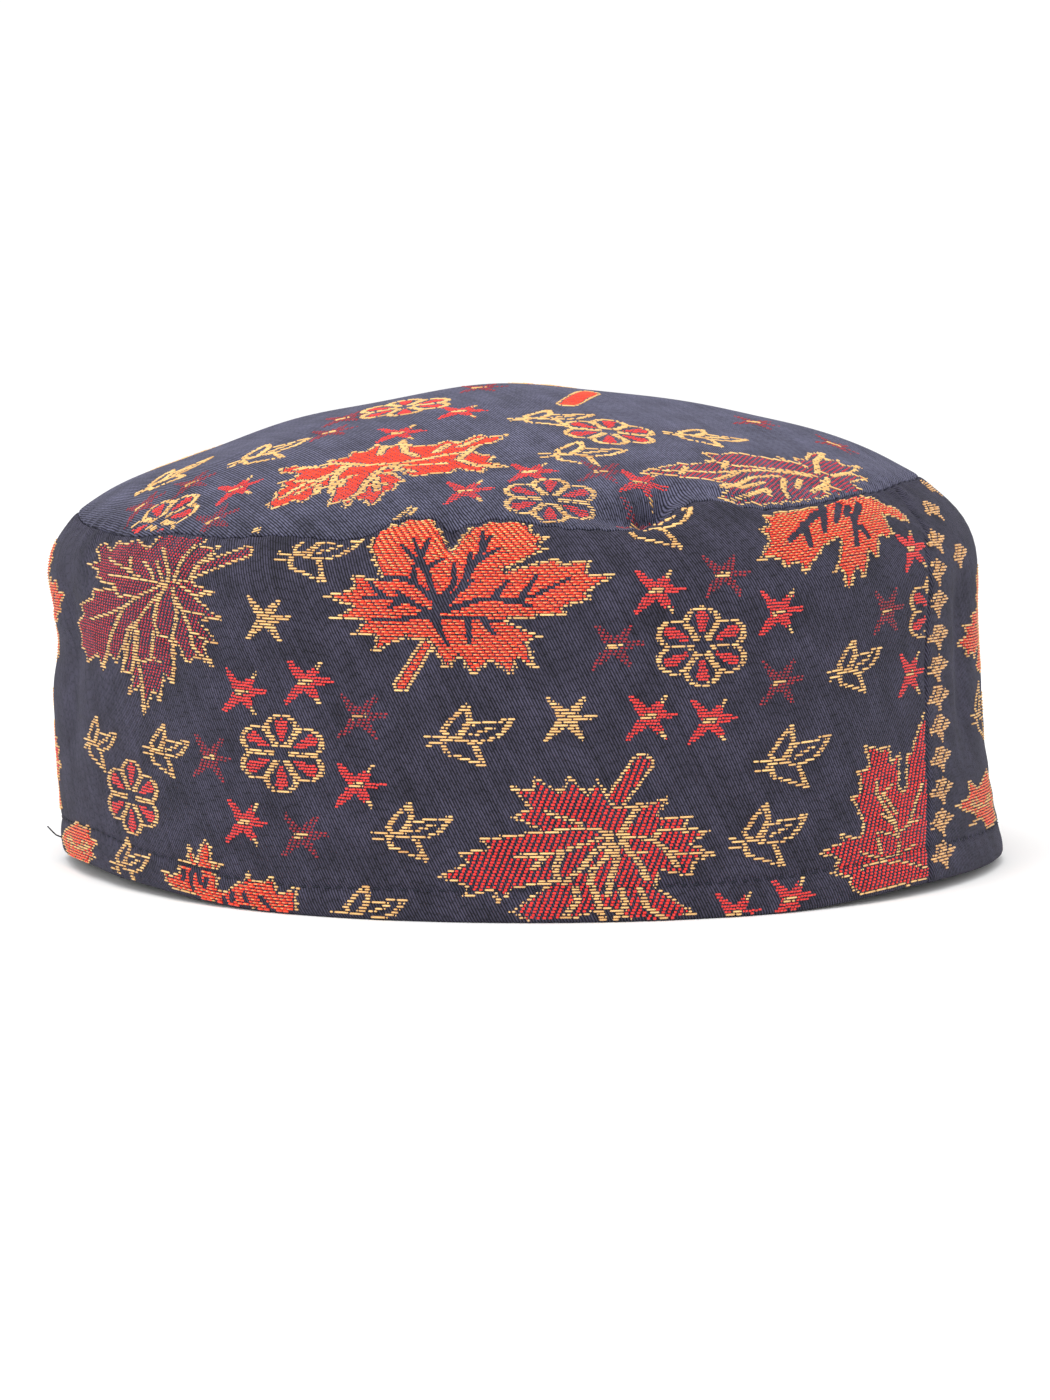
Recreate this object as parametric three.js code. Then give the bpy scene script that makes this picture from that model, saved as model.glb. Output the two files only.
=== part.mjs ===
import * as THREE from 'three';

// A soft round cap sewn from two panels of brocade: an upright side band and a low domed crown.
// Sizes are in millimetres. The cap stands on its rim, with its length along X and its front towards -Y.
// Angles go round the cap in degrees: 0 is the right end, -90 the front, 180 the left end, 90 the back.
// A level of 0 is the rim, 1 the top of the upright side and 2 the crown's highest point.

// Driving sizes
const oval = { halfLength: 98, halfDepth: 84, rightPinch: 0.2, leftPinch: 0.25 };
const sideHeight = 61;
const crownTop = { x: 0.5, y: 2, height: 99.4 };
const cloth = { thickness: 1.6, seamGap: 0.35, seamAllowance: 5, allowanceGap: 0.5 };
const hem = { height: 6.4, thickness: 2.6 };
const seamGroove = { depth: 0.5, width: 2.2 };
const segmentsAround = 120;
const brocade = { color: 0x353a4c, roughness: 0.8, metalness: 0 };

// How far the side stands outside the oval at each height, towards each quarter
const sideRows = [
  { height: 0, right: 3.1, front: 0.3, left: 0.6, back: 0.3 },
  { height: 6.4, right: 2.1, front: 0.3, left: 0.9, back: 0.3 },
  { height: 12, right: 1.0, front: 0.2, left: 1.3, back: 0.2 },
  { height: 18, right: 0.0, front: 0.2, left: 1.7, back: 0.2 },
  { height: 26, right: -1.1, front: 0.1, left: 1.9, back: 0.1 },
  { height: 36, right: -1.9, front: 0.1, left: 2.1, back: 0.1 },
  { height: 46, right: -2.5, front: 0.0, left: 1.1, back: 0.0 },
  { height: 53, right: -2.75, front: 0.0, left: 2.1, back: 0.0 },
  { height: 61, right: -2.7, front: 0.0, left: 3.15, back: 0.0 },
];

// Fullness of the shoulder and crown in each quarter: across the cap and upwards (2 is an ellipse)
const across = { right: 1.8, front: 1.45, left: 1.7, back: 1.45 };
const upwards = { right: 2.3, front: 2.0, left: 2.0, back: 2.0 };

// Where the crown seam lies round the cap
const seamRows = [
  { angle: -180, level: 1.21 },
  { angle: -156, level: 1.186 },
  { angle: -146, level: 1.178 },
  { angle: -138, level: 1.2 },
  { angle: -130, level: 1.196 },
  { angle: -122, level: 1.21 },
  { angle: -113, level: 1.202 },
  { angle: -110, level: 1.216 },
  { angle: -107.5, level: 1.262 },
  { angle: -105, level: 1.278 },
  { angle: -102, level: 1.275 },
  { angle: -100, level: 1.246 },
  { angle: -97, level: 1.258 },
  { angle: -94, level: 1.275 },
  { angle: -91, level: 1.27 },
  { angle: -88, level: 1.256 },
  { angle: -84, level: 1.245 },
  { angle: -79, level: 1.242 },
  { angle: -75.5, level: 1.254 },
  { angle: -73, level: 1.28 },
  { angle: -69, level: 1.314 },
  { angle: -66, level: 1.322 },
  { angle: -63, level: 1.317 },
  { angle: -60, level: 1.296 },
  { angle: -57, level: 1.285 },
  { angle: -50, level: 1.289 },
  { angle: -37, level: 1.306 },
  { angle: -18, level: 1.322 },
  { angle: -6, level: 1.318 },
  { angle: 40, level: 1.28 },
  { angle: 90, level: 1.24 },
  { angle: 135, level: 1.2 },
  { angle: 180, level: 1.21 },
];

// The rim lies flat at the front and back, and lifts towards both ends
const rimRows = [
  { angle: -180, lift: 1.6 },
  { angle: -155, lift: 2.6 },
  { angle: -146, lift: 2.0 },
  { angle: -120, lift: 0 },
  { angle: -62, lift: 0 },
  { angle: -36, lift: 2.0 },
  { angle: 0, lift: 1.2 },
  { angle: 36, lift: 1.8 },
  { angle: 60, lift: 0 },
  { angle: 122, lift: 0 },
  { angle: 148, lift: 2.0 },
  { angle: 180, lift: 1.6 },
];

// Soft upright valleys beside both ends, left from storing the cap folded flat
const valleys = [
  { angle: -20, depth: 2.0, width: 6, low: 20, high: 66 },
  { angle: 20, depth: 1.6, width: 7, low: 16, high: 64 },
  { angle: -161, depth: 1.3, width: 6, low: 18, high: 66 },
  { angle: 163, depth: 1.4, width: 7, low: 16, high: 64 },
];

// Puckers along the crown seam: offset is towards the crown, a negative depth is a swelling
const puckers = [
  { angle: -72.5, offset: 3, depth: 2.6, width: 6, reach: 5 },
  { angle: -80, offset: 6, depth: 1.2, width: 9, reach: 4 },
  { angle: -62, offset: 5, depth: -1.1, width: 7, reach: 6 },
  { angle: -99.5, offset: -1, depth: 1.1, width: 2.4, reach: 5 },
  { angle: -152, offset: -4, depth: 1.3, width: 6, reach: 6 },
  { angle: -28, offset: -5, depth: 1.0, width: 7, reach: 6 },
  { angle: 60, offset: 4, depth: 1.6, width: 7, reach: 6 },
  { angle: 104, offset: 3, depth: 1.8, width: 8, reach: 6 },
  { angle: 148, offset: -3, depth: 1.2, width: 7, reach: 6 },
];

// Broad soft hollows and swellings of the crown
const crownDents = [
  { x: -9, y: 0, depth: -1.2, radius: 24 },
  { x: -66, y: -4, depth: 1.1, radius: 20 },
  { x: 34, y: -22, depth: 0.9, radius: 20 },
  { x: -28, y: 40, depth: 0.9, radius: 22 },
];

const radians = (angle) => THREE.MathUtils.degToRad(angle);

// Value of one column of a table, between the two rows on either side of a place
function between(rows, key, place, column) {
  const above = rows.findIndex((row) => row[key] >= place);
  if (above === 0) return rows[0][column];
  if (above < 0) return rows[rows.length - 1][column];
  const [low, high] = [rows[above - 1], rows[above]];
  const share = THREE.MathUtils.smoothstep(place, low[key], high[key]);
  return THREE.MathUtils.lerp(low[column], high[column], share);
}

// Mix of four quarter values at an angle
function quarterMix(angle, quarters) {
  const c = Math.cos(radians(angle));
  const s = Math.sin(radians(angle));
  return c * c * (c > 0 ? quarters.right : quarters.left) + s * s * (s > 0 ? quarters.back : quarters.front);
}

// Outside of the oval plan at an angle, pushed out by an offset
function planPoint(angle, offset) {
  const c = Math.cos(radians(angle));
  const s = Math.sin(radians(angle));
  const pinch = (c > 0 ? oval.rightPinch : oval.leftPinch) * c * c;
  const point = new THREE.Vector2(oval.halfLength * c, oval.halfDepth * s * Math.abs(s) ** pinch);
  const out = new THREE.Vector2(c * oval.halfDepth, s * oval.halfLength).normalize();
  return point.addScaledVector(out, offset);
}

// The cap's smooth outer surface, without dents
function smoothSurface(angle, level) {
  const height = Math.min(level, 1) * sideHeight;
  const quarters = {};
  for (const quarter of ['right', 'front', 'left', 'back']) {
    quarters[quarter] = between(sideRows, 'height', height, quarter);
  }
  const plan = planPoint(angle, quarterMix(angle, quarters));
  const turn = THREE.MathUtils.clamp(level - 1, 0, 1) * Math.PI / 2;
  const inward = Math.max(Math.cos(turn), 0) ** (2 / quarterMix(angle, across));
  const rise = Math.sin(turn) ** (2 / quarterMix(angle, upwards));
  const lift = between(rimRows, 'angle', angle, 'lift') * (1 - Math.min(level, 1));
  return new THREE.Vector3(
    crownTop.x + (plan.x - crownTop.x) * inward,
    crownTop.y + (plan.y - crownTop.y) * inward,
    height + lift + (crownTop.height - sideHeight) * rise,
  );
}

// Direction out of the smooth surface, which is level all the way up the side
function outward(angle, level) {
  const step = 0.01;
  const steady = Math.min(level, 1.97);
  const around = smoothSurface(angle + 1, steady).sub(smoothSurface(angle - 1, steady));
  const up = smoothSurface(angle, steady + step).sub(smoothSurface(angle, Math.max(steady - step, 0)));
  const out = around.cross(up);
  if (level <= 1) out.setZ(0);
  out.normalize();
  return level > 1.97 ? out.lerp(new THREE.Vector3(0, 0, 1), (level - 1.97) / 0.03).normalize() : out;
}

// Length of cloth in one whole level at a place
function clothPerLevel(angle, level) {
  const step = 0.01;
  return smoothSurface(angle, level + step).distanceTo(smoothSurface(angle, level - step)) / (2 * step);
}

const seamLevel = (angle) => between(seamRows, 'angle', angle, 'level');
const hump = (distance, width) => Math.exp(-((distance / width) ** 2));

// Depth of the dents at a place, measured into the cap
function dentDepth(angle, level) {
  const point = smoothSurface(angle, level);
  const fromSeam = (level - seamLevel(angle)) * clothPerLevel(angle, Math.max(level, 1.05));
  let depth = 0;
  for (const valley of valleys) {
    const sideways = point.distanceTo(smoothSurface(valley.angle, level));
    const rise = THREE.MathUtils.smoothstep(point.z, valley.low, valley.low + 16);
    const fade = 1 - THREE.MathUtils.smoothstep(point.z, valley.high - 10, valley.high + 6);
    depth += valley.depth * hump(sideways, valley.width) * rise * fade;
  }
  for (const pucker of puckers) {
    const sideways = point.distanceTo(smoothSurface(pucker.angle, level));
    depth += pucker.depth * hump(sideways, pucker.width) * hump(fromSeam - pucker.offset, pucker.reach);
  }
  if (level > 1) {
    for (const dent of crownDents) {
      depth += dent.depth * hump(Math.hypot(point.x - dent.x, point.y - dent.y), dent.radius);
    }
  }
  return depth;
}

// A point of the cloth at a depth below the cap's outside
function clothPoint(angle, level, depth) {
  return smoothSurface(angle, level).addScaledVector(outward(angle, level), -depth - dentDepth(angle, level));
}

const angles = Array.from({ length: segmentsAround }, (_, step) => -180 + (360 * step) / segmentsAround);

// Closed geometry from rings of points; a ring that is a single point closes that end
function ringsGeometry(rings, joined) {
  const starts = [];
  const positions = [];
  for (const ring of rings) {
    starts.push(positions.length / 3);
    for (const point of ring) positions.push(point.x, point.y, point.z);
  }
  const triangles = [];
  const last = joined ? rings.length : rings.length - 1;
  for (let row = 0; row < last; row += 1) {
    const [here, next] = [rings[row], rings[(row + 1) % rings.length]];
    const [first, second] = [starts[row], starts[(row + 1) % rings.length]];
    for (let side = 0; side < segmentsAround; side += 1) {
      const after = (side + 1) % segmentsAround;
      if (next.length > 1) triangles.push(first + (here.length > 1 ? side : 0), second + after, second + side);
      if (here.length > 1) triangles.push(first + side, first + after, second + (next.length > 1 ? after : 0));
    }
  }
  const geometry = new THREE.BufferGeometry();
  geometry.setAttribute('position', new THREE.Float32BufferAttribute(positions, 3));
  geometry.setIndex(triangles);
  geometry.computeVertexNormals();
  return geometry;
}

// A ring round the cap at one place of a panel's section
function ring(place) {
  return angles.map((angle) => {
    const { level, depth } = place(angle);
    return clothPoint(angle, level, depth);
  });
}

function panel(name, rings, joined) {
  const mesh = new THREE.Mesh(ringsGeometry(rings, joined), new THREE.MeshStandardMaterial(brocade));
  mesh.name = name;
  return mesh;
}

// The side band: up its outside, over the seam allowance under the crown's edge, and down its inside
function sideBand() {
  const underCrown = cloth.thickness + cloth.allowanceGap;
  const upright = (height, depth) => () => ({ level: height / sideHeight, depth });
  const shoulder = (share, depth) => (angle) => ({ level: 1 + share * (seamLevel(angle) - 1), depth });
  const pastSeam = (distance, depth) => (angle) => {
    const level = seamLevel(angle);
    return { level: level + distance / clothPerLevel(angle, level), depth };
  };
  const places = [
    ...[0, hem.height, 14, 23, 32, 41, 50].map((height) => upright(height, 0)),
    shoulder(0, 0),
    shoulder(0.3, 0),
    shoulder(0.6, 0),
    pastSeam(-seamGroove.width, 0),
    pastSeam(0, seamGroove.depth),
    pastSeam(0, underCrown),
    pastSeam(seamGroove.width, underCrown),
    pastSeam(cloth.seamAllowance, underCrown),
    pastSeam(cloth.seamAllowance, underCrown + cloth.thickness),
    pastSeam(-seamGroove.width, underCrown + cloth.thickness),
    shoulder(0.5, cloth.thickness),
    upright(sideHeight, cloth.thickness),
    upright(46, cloth.thickness),
    upright(26, cloth.thickness),
    upright(hem.height + 0.8, cloth.thickness),
    upright(hem.height, hem.thickness),
    upright(0, hem.thickness),
  ];
  return panel('side_band', places.map(ring), true);
}

// The crown: from its highest point out to the seam, round its edge, and back along its inside
function crown() {
  const part = (share, depth) => (angle) => {
    const edge = seamLevel(angle);
    return { level: edge + share * (2 - edge), depth };
  };
  const fromEdge = (distance, depth) => (angle) => {
    const edge = seamLevel(angle);
    return { level: edge + distance / clothPerLevel(angle, edge), depth };
  };
  const tip = (depth) => [clothPoint(0, 2, depth)];
  const rings = [
    tip(0),
    ...[0.9, 0.78, 0.65, 0.52, 0.38, 0.24, 0.13].map((share) => ring(part(share, 0))),
    ring(fromEdge(seamGroove.width, 0)),
    ring(fromEdge(cloth.seamGap, seamGroove.depth)),
    ring(fromEdge(cloth.seamGap, cloth.thickness)),
    ring(fromEdge(seamGroove.width, cloth.thickness)),
    ring(fromEdge(cloth.seamAllowance, cloth.thickness)),
    ...[0.24, 0.42, 0.62, 0.84].map((share) => ring(part(share, cloth.thickness))),
    tip(cloth.thickness),
  ];
  return panel('crown', rings.reverse(), false);
}

const cap = new THREE.Group();
cap.add(sideBand(), crown());

export default cap;
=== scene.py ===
import math

import bpy
import numpy as np
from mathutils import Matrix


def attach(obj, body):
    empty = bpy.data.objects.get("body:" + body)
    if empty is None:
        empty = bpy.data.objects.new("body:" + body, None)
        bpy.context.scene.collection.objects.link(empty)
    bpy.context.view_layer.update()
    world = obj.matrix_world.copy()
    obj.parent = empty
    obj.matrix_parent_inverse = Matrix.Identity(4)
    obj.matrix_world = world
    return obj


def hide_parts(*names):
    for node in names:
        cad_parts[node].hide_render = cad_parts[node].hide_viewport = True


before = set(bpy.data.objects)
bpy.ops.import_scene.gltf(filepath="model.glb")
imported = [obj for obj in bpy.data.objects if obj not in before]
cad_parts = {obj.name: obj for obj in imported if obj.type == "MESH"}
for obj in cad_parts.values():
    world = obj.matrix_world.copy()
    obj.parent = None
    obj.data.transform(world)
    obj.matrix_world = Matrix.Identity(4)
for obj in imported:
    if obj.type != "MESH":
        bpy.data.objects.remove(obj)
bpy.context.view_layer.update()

# Lengths in the tables are millimetres, and meshes are in metres.
# Angles go round the cap in degrees: 0 right end, -90 front, 180 left end, 90 back.
# A level is 0 at the rim, 1 at the top of the upright side and 2 at the crown's highest point.
mm = 0.001
bpy.ops.object.select_all(action="DESELECT")


# Camera and studio

view = {"place": (-0.45, -850, 130.4), "pitch": 6.49, "lens": 103.7}
studio = {"floorHalf": 4000, "floorWhite": 0.955, "skyWhite": 1.05}
softboxes = [
    {"name": "overhead", "place": (-250, -500, 1300), "aim": (0, 0, 40), "width": 1100, "power": 9},
    {"name": "frontLeft", "place": (-950, -1150, 520), "aim": (0, 0, 40), "width": 800, "power": 5.4},
    {"name": "frontRight", "place": (1150, -900, 380), "aim": (0, 0, 40), "width": 700, "power": 2},
]


def aimedAt(place, aim):
    way = np.array(aim, float) - np.array(place, float)
    across = math.hypot(way[0], way[1])
    return (math.pi / 2 + math.atan2(way[2], across), 0, math.atan2(-way[0], way[1]))


def studioCamera():
    camera = bpy.data.cameras.new("camera")
    camera.lens = view["lens"]
    camera.clip_start = 0.01
    camera.clip_end = 50
    holder = bpy.data.objects.new("camera", camera)
    holder.location = [value * mm for value in view["place"]]
    holder.rotation_euler = (math.radians(90 - view["pitch"]), 0, 0)
    bpy.context.scene.collection.objects.link(holder)
    bpy.context.scene.camera = holder


def studioLights():
    for box in softboxes:
        lamp = bpy.data.lights.new(box["name"], "AREA")
        lamp.shape = "DISK"
        lamp.size = box["width"] * mm
        lamp.energy = box["power"]
        holder = bpy.data.objects.new(box["name"], lamp)
        holder.location = [value * mm for value in box["place"]]
        holder.rotation_euler = aimedAt(box["place"], box["aim"])
        bpy.context.scene.collection.objects.link(holder)
    sky = bpy.data.worlds.new("sky")
    sky.use_nodes = True
    white = studio["skyWhite"]
    sky.node_tree.nodes["Background"].inputs["Color"].default_value = (white, white, white, 1)
    sky.node_tree.nodes["Background"].inputs["Strength"].default_value = 1
    bpy.context.scene.world = sky


studioCamera()
studioLights()
bpy.context.scene.view_settings.view_transform = "Standard"
print("camera and lights are up")


# Shader sums: a Wire is one socket, and sums on wires add their Math nodes

class Wire:
    def __init__(self, paint, socket):
        self.paint = paint
        self.socket = socket

    def other(self, output):
        return Wire(self.paint, self.socket.node.outputs[output])

    def maths(self, operation, first, second=None):
        sockets = {0: first} if second is None else {0: first, 1: second}
        return self.paint.node("ShaderNodeMath", {"operation": operation}, sockets)

    def floor(self):
        return self.maths("FLOOR", self)

    def power(self, other):
        return self.maths("POWER", self, other)

    def size(self):
        return self.maths("ABSOLUTE", self)

    def __add__(self, other):
        return self.maths("ADD", self, other)

    def __radd__(self, other):
        return self.maths("ADD", other, self)

    def __sub__(self, other):
        return self.maths("SUBTRACT", self, other)

    def __rsub__(self, other):
        return self.maths("SUBTRACT", other, self)

    def __mul__(self, other):
        return self.maths("MULTIPLY", self, other)

    def __rmul__(self, other):
        return self.maths("MULTIPLY", other, self)

    def __truediv__(self, other):
        return self.maths("DIVIDE", self, other)

    def __rtruediv__(self, other):
        return self.maths("DIVIDE", other, self)


class Paint:
    def __init__(self, name):
        self.material = bpy.data.materials.new(name)
        self.material.use_nodes = True
        self.tree = self.material.node_tree
        self.tree.nodes.clear()

    # One node of any type: its settings first, then its sockets' values or wires
    def node(self, kind, settings=None, sockets=None, gives=0):
        made = self.tree.nodes.new(kind)
        for key, value in (settings or {}).items():
            setattr(made, key, value)
        for key, value in (sockets or {}).items():
            if isinstance(value, Wire):
                self.tree.links.new(value.socket, made.inputs[key])
            else:
                made.inputs[key].default_value = value
        return Wire(self, made.outputs[gives] if len(made.outputs) else None)

    def blend(self, share, first, second):
        return self.node("ShaderNodeMix", {"data_type": "RGBA"}, {0: share, 6: first, 7: second}, 2)

    def noise(self, place, scale, detail=2.0, rough=0.5):
        sockets = {"Vector": place, "Scale": scale, "Detail": detail, "Roughness": rough}
        return self.node("ShaderNodeTexNoise", None, sockets)

    def surface(self, sockets):
        body = self.node("ShaderNodeBsdfPrincipled", None, sockets)
        self.node("ShaderNodeOutputMaterial", None, {"Surface": body})
        return self.material


# Display colour as the linear one that the shader wants
def tint(red, green, blue):
    linear = []
    for value in (red, green, blue):
        share = value / 255
        linear.append(share / 12.92 if share <= 0.04045 else ((share + 0.055) / 1.055) ** 2.4)
    return (*linear, 1)


# The cap's surface, from the same sizes as the CAD

oval = {"halfLength": 98, "halfDepth": 84, "rightPinch": 0.2, "leftPinch": 0.25}
sideHeight = 61
crownTop = {"x": 0.5, "y": 2, "height": 99.4}
panelCloth = {"thickness": 1.6, "seamGap": 0.35, "seamAllowance": 5, "allowanceGap": 0.5}
hem = {"height": 6.4, "thickness": 2.6}
across = {"right": 1.8, "front": 1.45, "left": 1.7, "back": 1.45}
upwards = {"right": 2.3, "front": 2.0, "left": 2.0, "back": 2.0}

# How far the side stands outside the oval at each height: height, right, front, left, back
sideRows = [
    (0, 3.1, 0.3, 0.6, 0.3),
    (6.4, 2.1, 0.3, 0.9, 0.3),
    (12, 1.0, 0.2, 1.3, 0.2),
    (18, 0.0, 0.2, 1.7, 0.2),
    (26, -1.1, 0.1, 1.9, 0.1),
    (36, -1.9, 0.1, 2.1, 0.1),
    (46, -2.5, 0.0, 1.1, 0.0),
    (53, -2.75, 0.0, 2.1, 0.0),
    (61, -2.7, 0.0, 3.15, 0.0),
]

# Where the crown seam lies round the cap: angle, level
seamRows = [
    (-180, 1.21), (-156, 1.186), (-146, 1.178), (-138, 1.2), (-130, 1.196), (-122, 1.21), (-113, 1.202),
    (-110, 1.216), (-107.5, 1.262), (-105, 1.278), (-102, 1.275), (-100, 1.246), (-97, 1.258),
    (-94, 1.275), (-91, 1.27), (-88, 1.256), (-84, 1.245), (-79, 1.242), (-75.5, 1.254), (-73, 1.28),
    (-69, 1.314), (-66, 1.322), (-63, 1.317), (-60, 1.296), (-57, 1.285), (-50, 1.289), (-37, 1.306),
    (-18, 1.322), (-6, 1.318), (40, 1.28), (90, 1.24), (135, 1.2), (180, 1.21),
]

# How far the rim lifts off the table: angle, lift
rimRows = [
    (-180, 1.6), (-155, 2.6), (-146, 2.0), (-120, 0), (-62, 0), (-36, 2.0),
    (0, 1.2), (36, 1.8), (60, 0), (122, 0), (148, 2.0), (180, 1.6),
]

# Soft upright valleys beside both ends
valleys = [
    {"angle": -20, "depth": 2.0, "width": 6, "low": 20, "high": 66},
    {"angle": 20, "depth": 1.6, "width": 7, "low": 16, "high": 64},
    {"angle": -161, "depth": 1.3, "width": 6, "low": 18, "high": 66},
    {"angle": 163, "depth": 1.4, "width": 7, "low": 16, "high": 64},
]

# Puckers along the crown seam: offset is towards the crown, a negative depth is a swelling
puckers = [
    {"angle": -72.5, "offset": 3, "depth": 2.6, "width": 6, "reach": 5},
    {"angle": -80, "offset": 6, "depth": 1.2, "width": 9, "reach": 4},
    {"angle": -62, "offset": 5, "depth": -1.1, "width": 7, "reach": 6},
    {"angle": -99.5, "offset": -1, "depth": 1.1, "width": 2.4, "reach": 5},
    {"angle": -152, "offset": -4, "depth": 1.3, "width": 6, "reach": 6},
    {"angle": -28, "offset": -5, "depth": 1.0, "width": 7, "reach": 6},
    {"angle": 60, "offset": 4, "depth": 1.6, "width": 7, "reach": 6},
    {"angle": 104, "offset": 3, "depth": 1.8, "width": 8, "reach": 6},
    {"angle": 148, "offset": -3, "depth": 1.2, "width": 7, "reach": 6},
]

# Broad soft hollows and swellings of the crown
crownDents = [
    {"x": -9, "y": 0, "depth": -1.2, "radius": 24},
    {"x": -66, "y": -4, "depth": 1.1, "radius": 20},
    {"x": 34, "y": -22, "depth": 0.9, "radius": 20},
    {"x": -28, "y": 40, "depth": 0.9, "radius": 22},
]


def smoothStep(place, low, high):
    share = np.clip((place - low) / (high - low), 0, 1)
    return share * share * (3 - 2 * share)


# Value of one column of a table at places between its rows
def between(rows, place, column=1):
    keys = np.array([row[0] for row in rows], float)
    values = np.array([row[column] for row in rows], float)
    above = np.clip(np.searchsorted(keys, place), 1, len(keys) - 1)
    share = smoothStep(place, keys[above - 1], keys[above])
    return values[above - 1] + (values[above] - values[above - 1]) * share


def hump(distance, width):
    return np.exp(-((distance / width) ** 2))


def wrapped(angle):
    return (np.asarray(angle, float) + 180) % 360 - 180


def quarterMix(angle, right, front, left, back):
    c = np.cos(np.radians(angle))
    s = np.sin(np.radians(angle))
    return c * c * np.where(c > 0, right, left) + s * s * np.where(s > 0, back, front)


def planPoint(angle, offset):
    c = np.cos(np.radians(angle))
    s = np.sin(np.radians(angle))
    pinch = np.where(c > 0, oval["rightPinch"], oval["leftPinch"]) * c * c
    outX = c * oval["halfDepth"]
    outY = s * oval["halfLength"]
    size = np.hypot(outX, outY)
    x = oval["halfLength"] * c + outX / size * offset
    y = oval["halfDepth"] * s * np.abs(s) ** pinch + outY / size * offset
    return x, y


# The cap's smooth outer surface, without dents
def smoothSurface(angle, level):
    angle, level = np.broadcast_arrays(wrapped(angle), np.asarray(level, float))
    height = np.clip(level, 0, 1) * sideHeight
    quarters = [between(sideRows, height, column) for column in (1, 2, 3, 4)]
    planX, planY = planPoint(angle, quarterMix(angle, *quarters))
    turn = np.clip(level - 1, 0, 1) * math.pi / 2
    inward = np.maximum(np.cos(turn), 0) ** (2 / quarterMix(angle, *across.values()))
    inward = np.where(level >= 2, 0, inward)
    rise = np.sin(turn) ** (2 / quarterMix(angle, *upwards.values()))
    lift = between(rimRows, angle) * (1 - np.clip(level, 0, 1))
    x = crownTop["x"] + (planX - crownTop["x"]) * inward
    y = crownTop["y"] + (planY - crownTop["y"]) * inward
    z = height + lift + (crownTop["height"] - sideHeight) * rise
    return np.stack([x, y, z], -1)


def unit(vectors):
    return vectors / np.maximum(np.linalg.norm(vectors, axis=-1, keepdims=True), 1e-12)


# Direction out of the smooth surface, which is level all the way up the side
def outward(angle, level):
    step = 0.01
    steady = np.minimum(level, 1.97)
    around = smoothSurface(angle + 1, steady) - smoothSurface(angle - 1, steady)
    rising = smoothSurface(angle, steady + step) - smoothSurface(angle, np.maximum(steady - step, 0))
    out = np.cross(around, rising)
    out[..., 2] = np.where(level <= 1, 0, out[..., 2])
    out = unit(out)
    share = np.clip((level - 1.97) / 0.03, 0, 1)[..., None]
    return unit(out * (1 - share) + np.array([0, 0, 1.0]) * share)


def clothPerLevel(angle, level):
    step = 0.01
    gap = smoothSurface(angle, level + step) - smoothSurface(angle, level - step)
    return np.linalg.norm(gap, axis=-1) / (2 * step)


def seamLevel(angle):
    return between(seamRows, wrapped(angle))


def fromCrownSeam(angle, level):
    return (level - seamLevel(angle)) * clothPerLevel(angle, np.maximum(level, 1.05))


def dentDepth(angle, level):
    point = smoothSurface(angle, level)
    fromSeam = fromCrownSeam(angle, level)
    depth = np.zeros(point.shape[:-1])
    for valley in valleys:
        sideways = np.linalg.norm(point - smoothSurface(valley["angle"], level), axis=-1)
        rise = smoothStep(point[..., 2], valley["low"], valley["low"] + 16)
        fade = 1 - smoothStep(point[..., 2], valley["high"] - 10, valley["high"] + 6)
        depth += valley["depth"] * hump(sideways, valley["width"]) * rise * fade
    for pucker in puckers:
        sideways = np.linalg.norm(point - smoothSurface(pucker["angle"], level), axis=-1)
        along = hump(fromSeam - pucker["offset"], pucker["reach"])
        depth += pucker["depth"] * hump(sideways, pucker["width"]) * along
    for dent in crownDents:
        away = np.hypot(point[..., 0] - dent["x"], point[..., 1] - dent["y"])
        depth += np.where(level > 1, dent["depth"] * hump(away, dent["radius"]), 0)
    return depth


# Fine relief of the sewn cloth: hem, seams and soft waves, all as depth below the outside

hemLine = {"groove": 0.45, "width": 0.7, "bulge": 0.35, "stitch": 2.6}
crownSeam = {"groove": 0.15, "width": 0.6, "gather": 0.22, "gatherPitch": 4.4}
# Sharp little folds beside the crown seam: offset is towards the crown, swell is the ridge to the right
folds = [
    {"angle": -99.6, "depth": 1.3, "width": 1.3, "offset": -3, "reach": 3, "swell": 0.65},
    {"angle": -73.5, "depth": 3.3, "width": 9.0, "offset": 4.5, "reach": 3.2, "swell": 0},
    {"angle": -71.0, "depth": 1.4, "width": 3.5, "offset": 4.0, "reach": 2.6, "swell": 0.9},
    {"angle": -61.0, "depth": 1.2, "width": 5.0, "offset": 2.0, "reach": 1.8, "swell": 0},
]
joinSeam = {"groove": 0.35, "width": 0.5, "swell": 0.2}
waves = {"side": 0.22, "crown": 0.3}

# Height of the hem's stitch line round the cap: angle, height
hemRows = [
    (-180, 7.6), (-152, 8.1), (-138, 7.0), (-122, 5.8), (-100, 6.2), (-82, 6.7),
    (-45, 7.3), (0, 7.0), (60, 6.4), (120, 6.6), (180, 7.6),
]

# The joining seam leans: level, angle
joinRows = [(0, -36.0), (0.38, -34.3), (0.64, -33.4), (0.84, -33.2), (1.075, -32.4), (1.19, -28.0), (1.32, -24.8)]

roundAngles = np.linspace(-180, 180, 1441)
planLine = smoothSurface(roundAngles, 0.5)[:, :2]
roundLengths = np.concatenate([[0], np.cumsum(np.linalg.norm(np.diff(planLine, axis=0), axis=1))])
girth = roundLengths[-1]


# Cloth length round the band from the left end
def clothRound(angle):
    return np.interp(wrapped(angle), roundAngles, roundLengths)


def fromJoin(angle, level):
    return clothRound(angle) - clothRound(between(joinRows, level))


def softWaves(x, y, seed):
    total = 0
    for turn in range(5):
        lean = seed + turn * 1.9
        length = 21 + 7.3 * turn
        push = np.sin((x * math.cos(lean) + y * math.sin(lean)) * 2 * math.pi / length + seed * 7 + turn * 2.4)
        total = total + push
    return total / 3


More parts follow.
